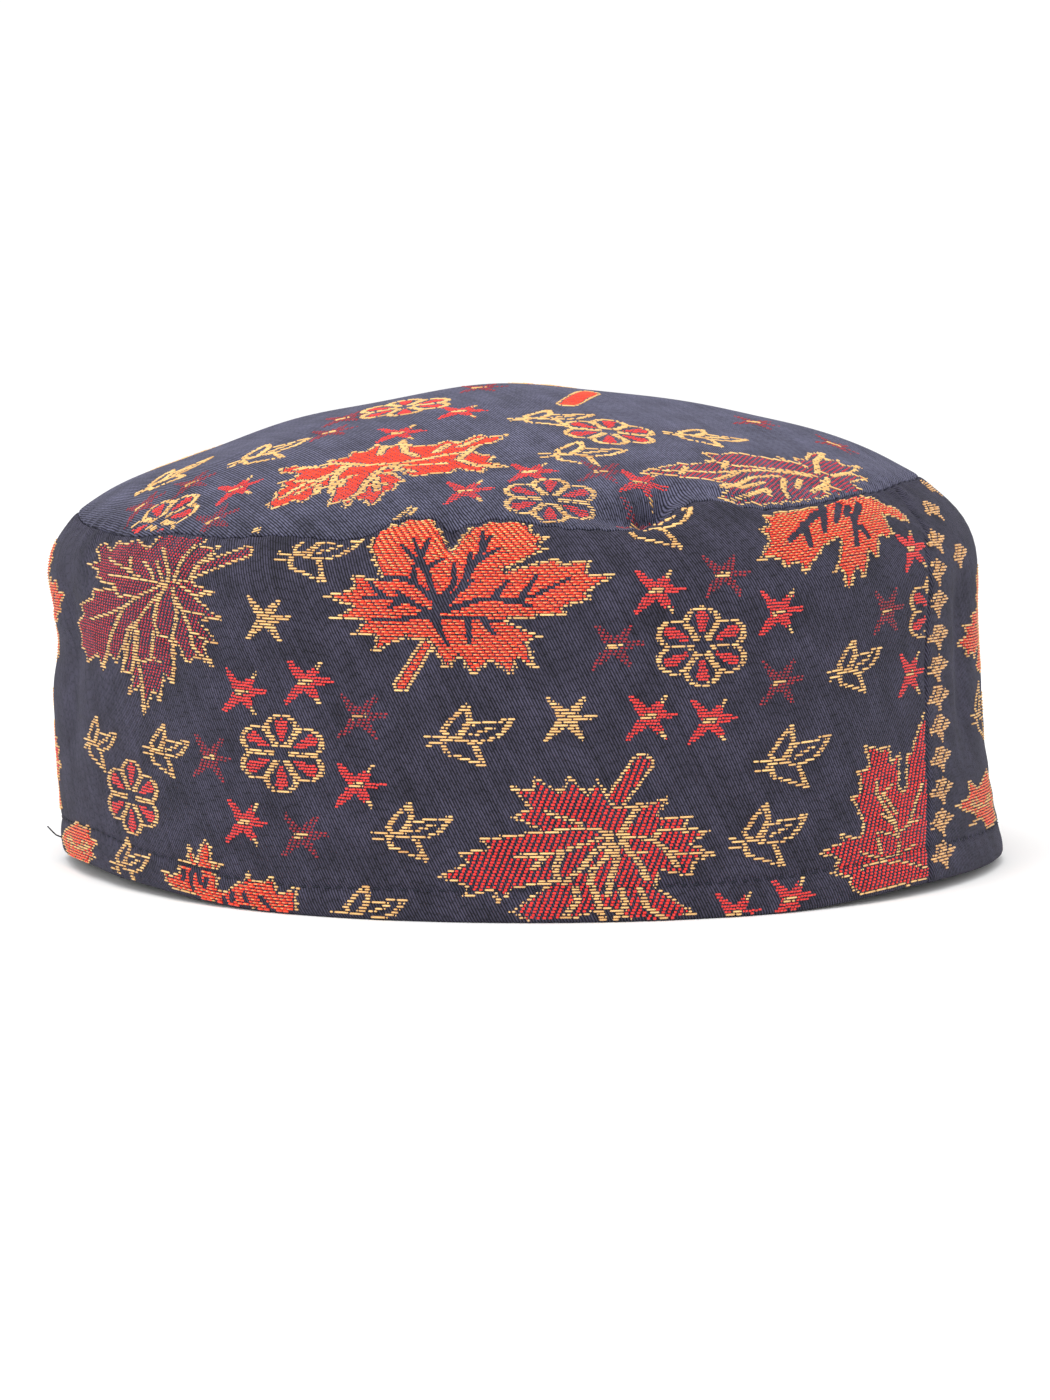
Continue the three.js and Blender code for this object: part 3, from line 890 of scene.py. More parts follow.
leaves = {
    "broadMottleAndShade": {
        "outline": [
            (7, 6.5), (-3, 14), (-14, 7.5), (-21, 15.6), (-38, 11), (-38, 17.3), (-50, 14.5), (-52, 19.8),
            (-62, 15.7), (-73, 16.6), (-82, 11.3), (-89, 20.6), (-97, 18.6), (-98, 24.8), (-104, 23),
            (-107, 29.3), (-114, 24), (-120, 28.3), (-122, 24), (-130, 26.2), (-141, 15.2), (-136, 26.4),
            (-143, 27.8), (-140, 32.2), (-147, 33), (-149, 39), (-154, 40.5), (-156, 44.5), (-159, 39.7),
            (-163, 42.3), (-163, 34.8), (-167, 35.7), (-168, 27.4), (-172, 27.6), (-170, 16.8), (-176, 27),
            (-179, 26.6), (179, 32.6), (176, 28.5), (172, 32.7), (168, 30.7), (169, 25.6), (163, 25.4),
            (161, 20.3), (153, 17.8), (148, 11.6), (134, 12.8), (110, 15), (85, 16), (60, 14), (61, 10.1),
            (40, 14.1), (37, 10.5), (20, 7),
        ],
        "lines": [
            [(0, 0), (109, 2.5), (128, 8.6)], [(0, 0), (-176, 7.5), (175, 15.5), (173, 24.4)],
            [(-175, 4.3), (165, 6), (161, 10)], [(-174, 1.5), (144, 6.4)], [(178, 12.7), (166, 15)],
            [(-179, 20.6), (-179, 12.4), (-172, 5)], [(0, 0), (-157, 10.2), (-156, 16), (-158, 22.4), (-160, 31)],
            [(-158, 10.7), (-165, 16.9), (-171, 18.3)], [(-156, 16), (-153, 18.6), (-148, 23.4), (-142, 31.7)],
            [(-134, 3.6), (-139, 14.1), (-142, 17.6), (-130, 25.8)], [(-138, 14.3), (-124, 23.3)],
            [(0, 0), (-124, 5.7), (-119, 9.7), (-107, 11.6), (-90, 11.4)],
            [(-31, 1.8), (-68, 6.6), (-85, 10.3), (-89, 19.7)], [(-115, 11.5), (-112, 17.4), (-120, 19.8)],
            [(-112, 17), (-102, 16.9)], [(-49, 3.3), (-52, 6.4), (-30, 10.8), (-23, 14.9)],
            [(-51, 6.6), (-56, 10.7), (-43, 15.5)], [(-56, 10.7), (-61, 13.8), (-53, 18.8)],
            [(9, 2.4), (11, 6), (34, 7.8), (36, 12.7)], [(4, 2.4), (-13, 7.8), (-6, 10.9)],
            [(-132, 15), (-126, 19.7), (-114, 23.4), (-107, 28.4)], [(13, 1.6), (69, 5.5), (66, 9.5)],
        ],
        "ribHalf": 0.3,
        "stem": [(0, 0), (25, 19.6)],
        "stemHalf": 1.4,
    },
    "upright": {
        "outline": [
            (12, 35.6), (8, 29), (5, 30.3), (3, 24), (-1, 25.4), (-5, 13), (-12, 20.5), (-17, 18.3),
            (-29, 22.1), (-29, 17.8), (-39, 18.8), (-41, 13.7), (-59, 14.1), (-62, 9.5), (-80, 11.1),
            (-105, 5.7), (-141, 7.7), (-148, 14.8), (-158, 12.9), (-165, 17.2), (-173, 14.1), (-176, 21.1),
            (177, 16.2), (173, 23.1), (165, 17), (157, 18.7), (150, 12.6), (138, 20.5), (128, 24),
            (118, 22), (108, 24), (98, 21), (80, 13.4), (72, 22), (60, 24), (50, 27), (43, 25.5),
            (36, 27.4), (37, 24), (32, 25.2), (34, 14.7), (26, 26.4), (23, 25.8), (20, 31.8), (15, 30.3),
        ],
        "lines": [
            [(-81, 1.8), (94, 3.2), (106, 9.1), (112, 17)], [(90, 2.3), (128, 7.3), (143, 12)],
            [(-149, 0.5), (157, 5.8), (165, 10.4), (169, 14.3)], [(75, 2.4), (60, 6.8), (73, 10.2)],
            [(46, 0.9), (45, 6.3), (55, 12.2), (59, 19)], [(17, 1.5), (18, 8.7), (11, 13.7), (10, 18.5), (15, 26.5)],
            [(-28, 1.7), (-7, 6), (-7, 12.7)], [(-9, 6.2), (-41, 8.4)], [(105, 9.1), (87, 11.1)],
            [(55, 12.2), (49, 18)], [(11, 13.7), (5, 18.2)], [(107, 8.8), (121, 16.4)], [(45, 6.3), (43, 9.4)],
            [(157, 5.8), (152, 8.7)], [(162, 7.2), (175, 9.4)], [(128, 7.3), (118, 10.5)],
            [(134, 9.5), (150, 13)], [(165, 10.4), (157, 14.5)], [(-149, 0.5), (-170, 7), (-174, 12.5)],
            [(109, 12), (101, 16)], [(50, 9), (63, 13.5)], [(57, 15.5), (66, 19.5)], [(12, 17), (21, 20.5)],
            [(14, 11.3), (25, 15)], [(-7, 9), (-20, 12)], [(-100, 1.5), (-70, 6.5)],
        ],
        "channel": (0.52, 0.24),
        "stem": [(-105, 5.7), (-116, 15.6)],
        "stemHalf": 1.25,
    },
    "drooping": {
        "outline": [
            (40, 7.8), (31, 13.8), (18, 9.7), (10, 16.6), (4, 14.5), (-1, 19.9), (-9, 16.2), (-13, 22),
            (-21, 17.5), (-29, 18.9), (-38, 12.4), (-50, 13.9), (-44, 23.3), (-54, 21.2), (-75, 18),
            (-92, 14.5), (-120, 20), (-134, 23.4), (-142, 24.3), (-140, 14.7), (-143, 15.5),
            (-150, 21.7), (-148, 25.6), (-154, 25), (-156, 30.6), (-160, 29.6), (-166, 34.8),
            (-168, 28.2), (-173, 29.5), (-173, 23.7), (-178, 25.2), (177, 13.5), (170, 19.7),
            (162, 16.2), (154, 21.8), (151, 17.4), (143, 18.4), (140, 12.4), (125, 14), (120, 8.7),
            (103, 10.7), (86, 5.6),
        ],
        "lines": [
            [(0, 0), (162, 2.4), (172, 6.9), (179, 13.6)], [(163, 6), (161, 10.1), (161, 13.1)],
            [(0, 0), (-156, 3.7), (-160, 9.7), (-162, 13), (-167, 18.8)],
            [(-160, 10), (-148, 12.5), (-138, 13.5), (-143, 16.1)], [(-162, 13), (-155, 16.3)],
            [(-78, 1.2), (-131, 4.9), (-129, 8), (-133, 13)], [(0, 0), (-97, 4.6), (-116, 7.8), (-112, 10.5)],
            [(-65, 2.1), (-76, 5.3), (-90, 9.1), (-92, 12)], [(-24, 2.4), (-46, 5.3), (-46, 8.6), (-52, 11.5)],
            [(0, 0), (-10, 8.3), (-19, 12.2), (-16, 16.4), (-13, 21.1)], [(-9, 8.4), (3, 10), (0, 15.1)],
            [(3, 2.2), (32, 4.1), (45, 8.2)], [(-123, 12.5), (-116, 14.5), (-119, 18.9)],
            [(-108, 11), (-100, 13.6), (-95, 16.7)], [(-62, 12.5), (-64, 16.1), (-58, 19.9)],
            [(-79, 11), (-78, 14.5), (-86, 16.6)], [(-20, 12.2), (-27, 14.8)], [(-46, 5.6), (-28, 7.7)],
        ],
        "ribHalf": 0.38,
        "stem": [(86, 5.6), (65, 14.7)],
        "stemHalf": 1.8,
    },
    "seamCut": {
        "outline": [
            (59, 21.6), (60, 18.6), (59, 16.5), (65, 16.1), (52, 9.4), (57, 8), (65, 8.3), (73, 15.4),
            (78, 14.4), (84, 12.8), (86, 15.3), (90, 16.9), (96, 16), (102, 17.2), (113, 19.5), (112, 16.9),
            (115, 14.2), (127, 16.6), (127, 14.6), (135, 12.3), (144, 14.2), (149, 11.7), (156, 9.4),
            (169, 8.3), (180, 9), (-179, 10.5), (174, 14.7), (-179, 14), (-177, 17), (-174, 20.2),
            (-169, 16.6), (-165, 15.2), (-163, 17.1), (-160, 16.5), (-161, 19), (-155, 16.6), (-148, 14.8),
            (-145, 16.1), (-129, 15), (-104, 12.2), (-74, 12.5), (-46, 16.6), (-12, 14.7), (28, 17.9),
            (51, 26), (58, 26),
        ],
        "lines": [
            [(-50, 2.9), (53, 1.8), (118, 8.3)], [(110, 10.8), (118, 8.3)], [(84, 8.6), (108, 7.5), (121, 8.4)],
            [(-35, 2.3), (-1, 5.4), (18, 8.1), (34, 13.3)], [(-178, 4.2), (-52, 1.7)], [(127, 4.2), (37, 1.1)],
            [(-161, 4.4), (-130, 5.5)], [(-160, 9.8), (-121, 6.4), (-64, 6.3)],
            [(-145, 11.3), (-135, 8.2), (-70, 7.5), (-43, 13.6)], [(-55, 3.7), (-75, 5.6)], [(-1, 5.4), (5, 9.6)],
            [(-54, 6.4), (-33, 8)], [(107, 7.6), (96, 5.7), (55, 3.3)],
        ],
        "ribHalf": 0.28,
    },
    "shoulderCut": {
        "outline": [
            (166, 13.5), (150, 8), (98, 6), (32, 7.5), (22, 8.5), (9, 9.5), (0, 13.6), (-7, 14.6), (-17, 14),
            (-19, 11.6), (-15, 8.2), (-16, 5.4), (-43, 5.7), (-59, 6.5), (-60, 7.9), (-87, 7.1), (-103, 6.5),
            (-113, 9.1), (-114, 11), (-116, 12.3), (-123, 12.3), (-129, 11.6), (-129, 14.7), (-128, 16.9),
            (-129, 18.4), (-134, 17.8), (-137, 18.1), (-137, 19.5), (-135, 21.2), (-135, 22.9), (-139, 22.8),
            (-142, 21.6), (-145, 21.3), (-148, 23.3), (-149, 21.3), (-152, 18.5), (-159, 15), (-161, 20.6),
            (-158, 26.5), (-156, 29.5), (-159, 29.4), (-161, 28.8), (-162, 33.7), (-164, 32.4), (-167, 34.3),
            (-167, 38), (-169, 36.3), (-173, 32.9), (-176, 32.5), (-178, 34.3), (180, 30.3), (175, 31),
            (172, 24),
        ],
        "lines": [
            [(158, 7.2), (-173, 12.2)], [(168, 12.8), (-169, 17.6)], [(174, 14.9), (-178, 20.7), (-171, 27.9)],
            [(-177, 21.6), (-165, 24)], [(90, 1.9), (-164, 6.5), (-144, 12.9)], [(-146, 6.8), (-130, 8.3)],
            [(-171, 5.5), (-178, 7.1)], [(160, 4.7), (-177, 7.7)],
        ],
        "channel": (0.8, 0.45),
    },
    "crownLeft": {
        "outline": [
            (15, 33), (8, 29.1), (7, 25.6), (1, 24.3), (-3, 26.3), (-4, 29.2), (-10, 28.3), (-14, 33.5),
            (-17, 28.3), (-21, 28.4), (-20, 22.8), (-26, 22.3), (-34, 18), (-39, 16.9), (-39, 14), (-37, 11),
            (-45, 11.8), (-47, 16.1), (-53, 15.3), (-58, 17.1), (-66, 16.6), (-72, 18.3), (-79, 20),
            (-82, 17.3), (-88, 16.3), (-95, 18.7), (-98, 15.9), (-108, 17.6), (-108, 15.1), (-109, 12),
            (-121, 10.1), (-127, 11.4), (-127, 14), (-130, 16.5), (-138, 16.1), (-141, 18.5), (-146, 20.7),
            (-155, 20), (-157, 17.5), (-164, 17.3), (-165, 14.5), (-176, 15.5), (-177, 12), (177, 11.5),
            (167, 15.6), (160, 16.5), (158, 13.4), (169, 7.8), (173, 5.2), (143, 6), (110, 3.1), (94, 5.6),
            (58, 5.6), (58, 9.4), (34, 9), (41, 13.6), (23, 13.1), (20, 15.4), (15, 17.1), (21, 20.7),
            (13, 22), (20, 27.1), (15, 29),
        ],
        "lines": [
            [(-22, 9.9), (-40, 4.5), (-144, 1.8), (-140, 5.6)], [(-22, 9.9), (-50, 8.2), (-76, 11), (-83, 14.2)],
            [(-58, 8.2), (-45, 11.8)], [(-73, 12.4), (-61, 13.9)], [(-24, 9.2), (-12, 14.4), (-3, 18.9), (1, 23.8)],
            [(-30, 9.8), (-20, 15.8), (-15, 19.6)], [(35, 12.5), (10, 10.9), (-4, 13.3)], [(-43, 3.8), (157, 4.9)],
            [(-128, 2.5), (-126, 6.2), (-111, 12.3)], [(-140, 5.6), (-155, 11), (-152, 17)],
            [(-139, 7.5), (-145, 14.1)], [(-88, 6.4), (-105, 7.7), (-103, 10.1)], [(-82, 13.8), (-94, 16.1)],
            [(2, 16.9), (13, 19.9)], [(-9, 21.6), (-15, 26.4), (-13, 29.8)], [(-8, 22), (6, 25)],
            [(-35, 8), (-33, 15)], [(-62, 10), (-70, 15)], [(-135, 10), (-125, 13)], [(-150, 9), (-168, 12)],
            [(20, 6), (45, 9)], [(165, 6), (167, 12)], [(8, 22), (15, 27)],
        ],
        "ribHalf": 0.42,
    },
    "crownRight": {
        "outline": [
            (-153, 41.5), (-155, 37.8), (-156, 33.6), (-158, 30.9), (-157, 28.6), (-160, 22.7), (-171, 24.2),
            (-170, 20.5), (-176, 16.9), (180, 9), (149, 3.8), (140, 6.1), (110, 5.7), (95, 10.2), (82, 14),
            (75, 9.5), (66, 13.1), (57, 11.4), (53, 17.2), (41, 10.9), (35, 15.2), (14, 8.3), (4, 9.9),
            (10, 14.4), (-17, 10.3), (-31, 8.5), (-86, 12.5), (-106, 18.2), (-117, 25.2), (-121, 26.6),
            (-125, 30), (-131, 31.3), (-131, 29), (-135, 29.1), (-136, 25.9), (-138, 28.5), (-144, 32.9),
            (-146, 33.6), (-150, 37.4),
        ],
        "lines": [
            [(-89, 2.1), (-147, 9.1), (-154, 18), (-160, 24.1)],
            [(-110, 3.6), (-147, 14.2), (-148, 24.1), (-151, 32.8), (-154, 37.4)],
            [(-134, 11.1), (-139, 18.2), (-134, 24.5), (-133, 29)], [(-127, 11.2), (-118, 14.8), (-110, 17.2)],
            [(-124, 18.2), (-125, 25.7), (-128, 30.4)], [(-116, 7.7), (-110, 11.6)],
            [(-17, 2.8), (-74, 8.3), (-55, 9.3)], [(49, 1.4), (18, 3.9), (41, 10.9)],
            [(-44, 0.9), (87, 6.2), (81, 11.9)], [(-124, 18.2), (-119, 20.3)], [(-54, 4.7), (-94, 10.5)],
            [(-131, 17.1), (-131, 24.8)], [(-146, 20), (-141, 27)], [(-152, 22), (-160, 20)], [(-155, 30), (-149, 33)],
            [(-70, 4), (-40, 8)], [(150, 2), (168, 8)],
        ],
        "ribHalf": 0.36,
    },
    "hemCut": {
        "outline": [
            (-172, 15.9), (-167, 12.8), (-167, 10.6), (177, 10.6), (178, 7.5), (163, 8.3), (150, 8.7),
            (157, 7), (173, 5.4), (150, 5.5), (116, 6.8), (108, 5), (111, 3), (144, 1.9), (50, 2.6),
            (32, 1), (-166, 1.6), (-65, 1.4), (-84, 3.6), (-47, 4.6), (-20, 5.4), (-7, 7.1), (9, 8.2),
            (-4, 8.9), (-4, 11.5), (3, 13.8), (-3, 14.5), (-8, 15), (-7, 17.1), (-3, 19.6), (-10, 19.8),
            (-18, 20.5), (-31, 13.1), (-64, 7.2), (-125, 7.6), (-152, 12.9), (-161, 14.6),
        ],
        "lines": [
            [(-171, 6.5), (-157, 7.2), (-143, 7.8)], [(-179, 10.1), (-174, 5.4), (-166, 1.6)],
            [(-162, 4.8), (-140, 5.3)], [(-139, 3.2), (-126, 4.8)], [(-27, 8.1), (-33, 9.4)],
            [(-68, 5.7), (-67, 7.1)], [(-40, 5.8), (-54, 6.9)], [(-19, 11.9), (-23, 14.1)],
            [(-168, 8.8), (-159, 9.7)],
        ],
        "channel": (0.45, 0.35),
    },
    "endTip": {
        "outline": [
            (174, 17.7), (160, 9.2), (144, 10.9), (125, 5), (47, 9.9), (24, 11.5), (-24, 11), (-98, 5.3),
            (-129, 3.4), (-165, 12.4), (-165, 5.8), (177, 15.1),
        ],
        "ribs": [(172, 10), (10, 8)],
    },
    "endHem": {
        "outline": [
            (178, 14.7), (161, 9.7), (92, 5.5), (56, 5.5), (37, 8.9), (20, 9.5), (12, 13.6), (4, 9.8),
            (-3, 11.4), (-15, 7.4), (-30, 8), (-90, 4), (-150, 8),
        ],
        "ribs": [(8, 9), (170, 9)],
    },
}

veins = {"shares": (0.35, 0.68), "swing": 37, "length": 0.3}


def paintLeaf(chart, kind, centre, fill, rib=gold, scale=1.0):
    leaf = leaves[kind]
    corners = [polar(centre, turn, reach, scale) for turn, reach in leaf["outline"]]
    if "stem" in leaf:
        ends = [polar(centre, turn, reach, scale) for turn, reach in leaf["stem"]]
        half = leaf["stemHalf"] * scale
        chart.bar(ends, gold, half, half + 0.2)
        chart.bar(ends, fill, half - 0.75, half - 0.55)
    chart.shape(corners, fill, gold)
    first, last = leaf.get("channel", (0.7, 0.32))
    ribHalf = leaf.get("ribHalf", 0.34)
    for line in leaf.get("lines", []):
        bends = [polar(centre, turn, reach, scale) for turn, reach in line]
        if rib == gold:
            chart.stroke(bends, gold, ribHalf)
        else:
            chart.bar(bends, 0, first, last, 0.7)
    for turn, reach in leaf.get("ribs", []):
        tip = polar(centre, turn, reach, scale)
        chart.bar([centre, tip], gold, 0.45, 0.25)
        for share in veins["shares"]:
            start = polar(centre, turn, reach * share, scale)
            for side in (-1, 1):
                length = veins["length"] * reach * (1.15 - share)
                end = polar(start, turn + side * veins["swing"], length, scale)
                chart.stroke([start, end], gold)


sprigLoops = [
    [(-3, 0), (-4.1, 1.5), (-1.6, 4.4), (0.8, 6.6), (1.3, 3.7), (0.4, 2.2), (-0.9, 0.4), (-3, 0)],
    [(-0.9, -0.6), (1.1, 2.8), (5.9, 3.2), (9.9, 3.8), (8.9, 2.2), (7, 0.2), (3.7, -0.9), (-0.9, -0.6)],
    [(-4.1, -0.4), (-0.7, -0.2), (2.4, -1.3), (3.3, -3.3), (4.4, -5.7), (0, -4.1), (-3.3, -3.1), (-3.9, -1.5), (-4.1, -0.4)],
]
sprigStrokes = [[(-7.2, 0.1), (-4.1, -0.1)], [(-7, -1.5), (-4.1, -1.2)], [(1.7, 0.5), (5.9, 2.1)]]


def paintSprig(chart, centre, scale=1.0):
    for line in sprigLoops + sprigStrokes:
        moved = [(centre[0] + x * scale, centre[1] + y * scale) for x, y in line]
        chart.stroke(moved, gold, 0.33)


crossArms = [(131, 5.3), (49, 5.2), (5, 5.6), (-51, 5.1), (-135, 5.8)]
crossTips = (1, 3)


def paintCross(chart, centre, arm=red, heart=gold):
    for turn, reach in crossArms:
        chart.bar([centre, polar(centre, turn, reach)], arm, 1.25, 0.42)
    chart.bar([(centre[0] - 1.1, centre[1] - 0.1), (centre[0] + 1.2, centre[1] + 0.2)], heart, 0.5, 0.45)
    if arm == red:
        for number in crossTips:
            turn, reach = crossArms[number]
            chart.bar([polar(centre, turn, reach * 0.78), polar(centre, turn, reach)], gold, 0.45, 0.4)


flower = {"petals": 6, "reach": 4.9, "round": 2.6, "stretch": 1.3, "heart": 1.7, "seedReach": 4.7, "seedHalf": 1.7, "seedWidth": 1.15}


def paintFlower(chart, centre):
    for petal in range(flower["petals"]):
        turn = 90 + petal * 360 / flower["petals"]
        loop = []
        for side in (-1, 1):
            x, y = polar((0, 0), turn + side * 22, flower["heart"])
            loop.append((centre[0] + x * flower["stretch"], centre[1] + y))
        for step in range(-5, 6):
            lean = math.radians(turn + step * 24)
            x = math.cos(math.radians(turn)) * flower["reach"] + math.cos(lean) * flower["round"]
            y = math.sin(math.radians(turn)) * flower["reach"] + math.sin(lean) * flower["round"]
            loop.insert(-1, (centre[0] + x * flower["stretch"], centre[1] + y))
        chart.stroke(loop, gold, 0.34)
        first = polar((0, 0), turn, flower["seedReach"] - flower["seedHalf"])
        last = polar((0, 0), turn, flower["seedReach"] + flower["seedHalf"] * 0.6)
        seed = [(centre[0] + x * flower["stretch"], centre[1] + y) for x, y in (first, last)]
        chart.bar(seed, red, 0.5, flower["seedWidth"])


border = {"widen": 1.65, "stemHalf": 0.95, "slits": (-1.9, 0.3)}
borderBody = [
    (-3.0, -0.9), (-3.3, 0.3), (-1.9, 1.4), (-1.7, 2.6), (0.5, 3.1), (1.6, 2.2), (3.3, 1.2), (2.4, 0.3),
    (0.9, -0.6), (-0.8, -1.4), (-1.6, -0.5),
]


def paintBorder(chart, centre):
    wide = border["widen"]
    corners = [(centre[0] + x * wide, centre[1] + y) for x, y in borderBody]
    chart.shape(corners, dull)
    for slit in border["slits"]:
        line = [(centre[0] + slit * wide, centre[1] + 0.2), (centre[0] + (slit + 1.4) * wide, centre[1] + 2.2)]
        chart.bar(line, 0, 0.16, 0.16)
    stem = border["stemHalf"]
    chart.bar([(centre[0] + 0.1, centre[1] - 0.8), (centre[0] + 0.4, centre[1] - 2.1)], dull, stem, stem * 0.6)


# Cloth length from the joining seam, at the height of each place
def bandJoinGap(x, y):
    level = np.interp(y, meanUp, np.linspace(0, 2, 801))
    return x - clothRound(between(joinRows, level))


# Where the figures lie on the band: x from the left end round the front, y up from the rim

halfTurn = girth / 2
bandLeaves = [
    ("hemCut", (77.5, 6.8), orange, 0, 1),
    ("drooping", (-4, 23), crimson, gold, 0.8),
    ("upright", (-8, 50), orange, 0, 0.8),
    ("endHem", (23.4, 3.0), orange, gold, 1),
    ("broadMottleAndShade", (65.4, 62.4), maroon, gold, 1),
    ("upright", (125.5, 59.8), orange, 0, 1),
    ("drooping", (159.0, 17.4), crimson, gold, 1),
    ("seamCut", (223.0, 12.6), crimson, gold, 1),
    ("shoulderCut", (227.8, 77.8), orange, 0, 1),
]
bandFlowers = [(177.3, 53.0), (93.6, 31.5), (51.7, 17.4), (240.8, 54.8)]
bandGoldCrosses = [(90.2, 57.7), (150.5, 39.6)]
bandCrosses = [
    (84.3, 42.9), (98.7, 45.7), (109.5, 26.1), (84.7, 17.3), (166.5, 39.7), (178.8, 38.6),
    (168.0, 63.9), (193.9, 58.9), (231.8, 42.5), (234.9, 67.6), (183.8, 0.7), (195.8, 2.6),
]
bandDimCrosses = [
    (110.2, 39.5), (76.2, 29.0), (97.9, 15.7), (159.7, 53.4), (182.3, 66.8), (194.1, 45.3), (223.2, 56.0),
]

# Sprigs have a size of their own in the third column
bandSprigs = [
    (130.6, 35.9, 0.95), (119.5, 17.1, 0.88), (62.4, 28.2, 0.8), (37.4, 26.3, 0.85), (48.9, 3.0, 0.85),
    (110.8, 1.1, 0.85), (196.2, 29.9, 1), (190.3, 15.0, 1), (212.5, 45.8, 0.85), (169.5, 79.4, 1.15),
    (98.3, 71.0, 1),
]
pastJoinLeaves = [("endTip", (265.1, 12.4), orange, gold, 1), ("drooping", (287, 53), orange, gold, 0.79)]
pastJoinSprigs = [(273, 31, 1)]
pastJoinFlowers = [(302.0, 25.0)]
pastJoinCrosses = [(297.0, 80.0), (315.0, 36.0), (290.0, 10.5)]
backLeaves = [("drooping", (510, 15), crimson, gold, 0.8), ("crownLeft", (500, 60), orange, gold, 0.75)]
borderPlaces = [
    (240.2, 4.7), (241.0, 11.2), (242.2, 17.6), (243.2, 24.0), (243.8, 30.3), (243.8, 36.4), (243.8, 42.4),
    (244.2, 48.8), (243.6, 55.6), (243.6, 62.0), (247.9, 68.4), (260.0, 64.7), (258.7, 75.7), (277.1, 81.6),
]

# On the crown: x to the right and y to the back, from its highest point
crownLeaves = [("crownLeft", (-36.1, -51.5), orange, gold, 1), ("crownRight", (59.1, -41.6), maroon, gold, 1)]
crownFlowers = [(-78.4, -47.8), (4.1, -72.4), (16.3, -39.5), (-25.8, -18.3)]
crownCrosses = [
    (-13.1, -69.3), (-0.1, -61.9), (-14.5, -27.1), (-27.1, -38.3), (-60.9, -49.2), (22.3, -64.0),
]
crownDimCrosses = [
    (22.3, -73.7), (14.3, -61.1), (-82.6, -35.7), (-70.9, -36.9), (-66.1, -58.7), (-39.0, -18.5), (-41.5, -29.0),
    (-10.5, -5.0), (47.1, -13.0), (64.2, -15.5),
]
crownSprigs = [
    (35.0, -34.9, 1), (9.5, -53.4, 1), (3.1, -32.6, 1), (-77.1, -24.2, 1), (-55.4, -33.9, 1), (-66.0, -72.0, 1),
]


# The figures again, on the back half of the crown
crownRepeats = [(37, 72), (-123, 72), (0, 144), (160, 144), (-160, 144)]


def moved(place, shift):
    return (place[0] + shift[0], place[1] + shift[1])


def paintFigures(chart, shift, kept, leafRows, flowers, goldCrosses, crosses, dimCrosses, sprigs):
    for place in sprigs:
        if kept(place):
            paintSprig(chart, moved(place, shift), place[2])
    for place in dimCrosses:
        if kept(place):
            paintCross(chart, moved(place, shift), dim)
    for place in crosses:
        if kept(place):
            paintCross(chart, moved(place, shift))
    for place in goldCrosses:
        if kept(place):
            paintCross(chart, moved(place, shift), gold)
    for place in flowers:
        if kept(place):
            paintFlower(chart, moved(place, shift))
    for kind, place, fill, rib, scale in leafRows:
        if kept(place):
            paintLeaf(chart, kind, moved(place, shift), fill, rib, scale)


def bandChart():
    chart = Chart(0, girth, 0.3, 90)
    beforeJoin = bandJoinGap(*np.meshgrid(chart.x, chart.y)) < 0
    rows = (bandLeaves, bandFlowers, bandGoldCrosses, bandCrosses, bandDimCrosses, bandSprigs)
    chart.open = beforeJoin
    paintFigures(chart, (0, 0), lambda place: True, *rows)
    chart.open = ~beforeJoin
    for place in borderPlaces:
        paintBorder(chart, place)
    paintFigures(chart, (0, 0), lambda place: True, pastJoinLeaves, pastJoinFlowers, [], pastJoinCrosses, [], pastJoinSprigs)
    paintFigures(chart, (halfTurn, 0), lambda place: 30 < place[0] < 205, *rows)
    paintFigures(chart, (0, 0), lambda place: True, backLeaves, [], [], [], [], [])
    paintFigures(chart, (girth, 0), lambda place: place[0] < 20, *rows)
    return chart


# The end of one leaf's stem that lies over the top of the crown
topStem = {"line": [(8.0, -20.5), (12.4, -9)], "half": 2.0, "rim": 0.6}

# A leaf tip of two strands on the crown, just past the seam
crownStrands = [[(-28.6, -77.7), (-24.1, -73)], [(-27.0, -78.6), (-23.2, -74)]]


def crownChart():
    chart = Chart(-120, 120, -112, 112)
    chart.bar(topStem["line"], gold, topStem["half"], topStem["half"])
    inner = topStem["half"] - topStem["rim"]
    chart.bar(topStem["line"], orange, inner, inner)
    for strand in crownStrands:
        chart.stroke(strand, gold, 0.3)
    rows = (crownLeaves, crownFlowers, [], crownCrosses, crownDimCrosses, crownSprigs)
    paintFigures(chart, (0, 0), lambda place: True, *rows)
    for shift in crownRepeats:
        paintFigures(chart, shift, lambda place: place[1] + shift[1] > 14, *rows)
    return chart


# Where each cell stands in the repeat of a yarn's binding
def beats(chart, rule):
    row, column = np.indices(chart.yarn.shape)
    return (column + rule["step"] * row) % rule["repeat"]


# Runs of one yarn along each pick, cut where the warp binds them down
def runs(chart, yarn):
    rule = bindings[yarn]
    beat = beats(chart, rule)
    showing = (chart.yarn == yarn) & (beat >= rule["bare"])
    padded = np.pad(showing, ((0, 0), (1, 1)))
    opens = showing & (~padded[:, :-2] | np.isin(beat, rule["starts"]))
    closes = showing & (~padded[:, 2:] | np.isin((beat + 1) % rule["repeat"], rule["starts"]))
    starts = np.argwhere(opens)
    ends = np.argwhere(closes)
    return starts[:, 0], starts[:, 1], ends[:, 1] + 1


# Short flecks where the fill under them is bound down
def fleckRuns(chart):
    beat = beats(chart, bindings[fleck["over"]])
    filled = chart.yarn == fleck["over"]
    whole = filled.copy()
    for step in range(1, fleck["ends"]):
        whole[:, :-step] &= filled[:, step:]
    starts = np.argwhere(whole & (beat == 0))
    return starts[:, 0], starts[:, 1], starts[:, 1] + fleck["ends"]
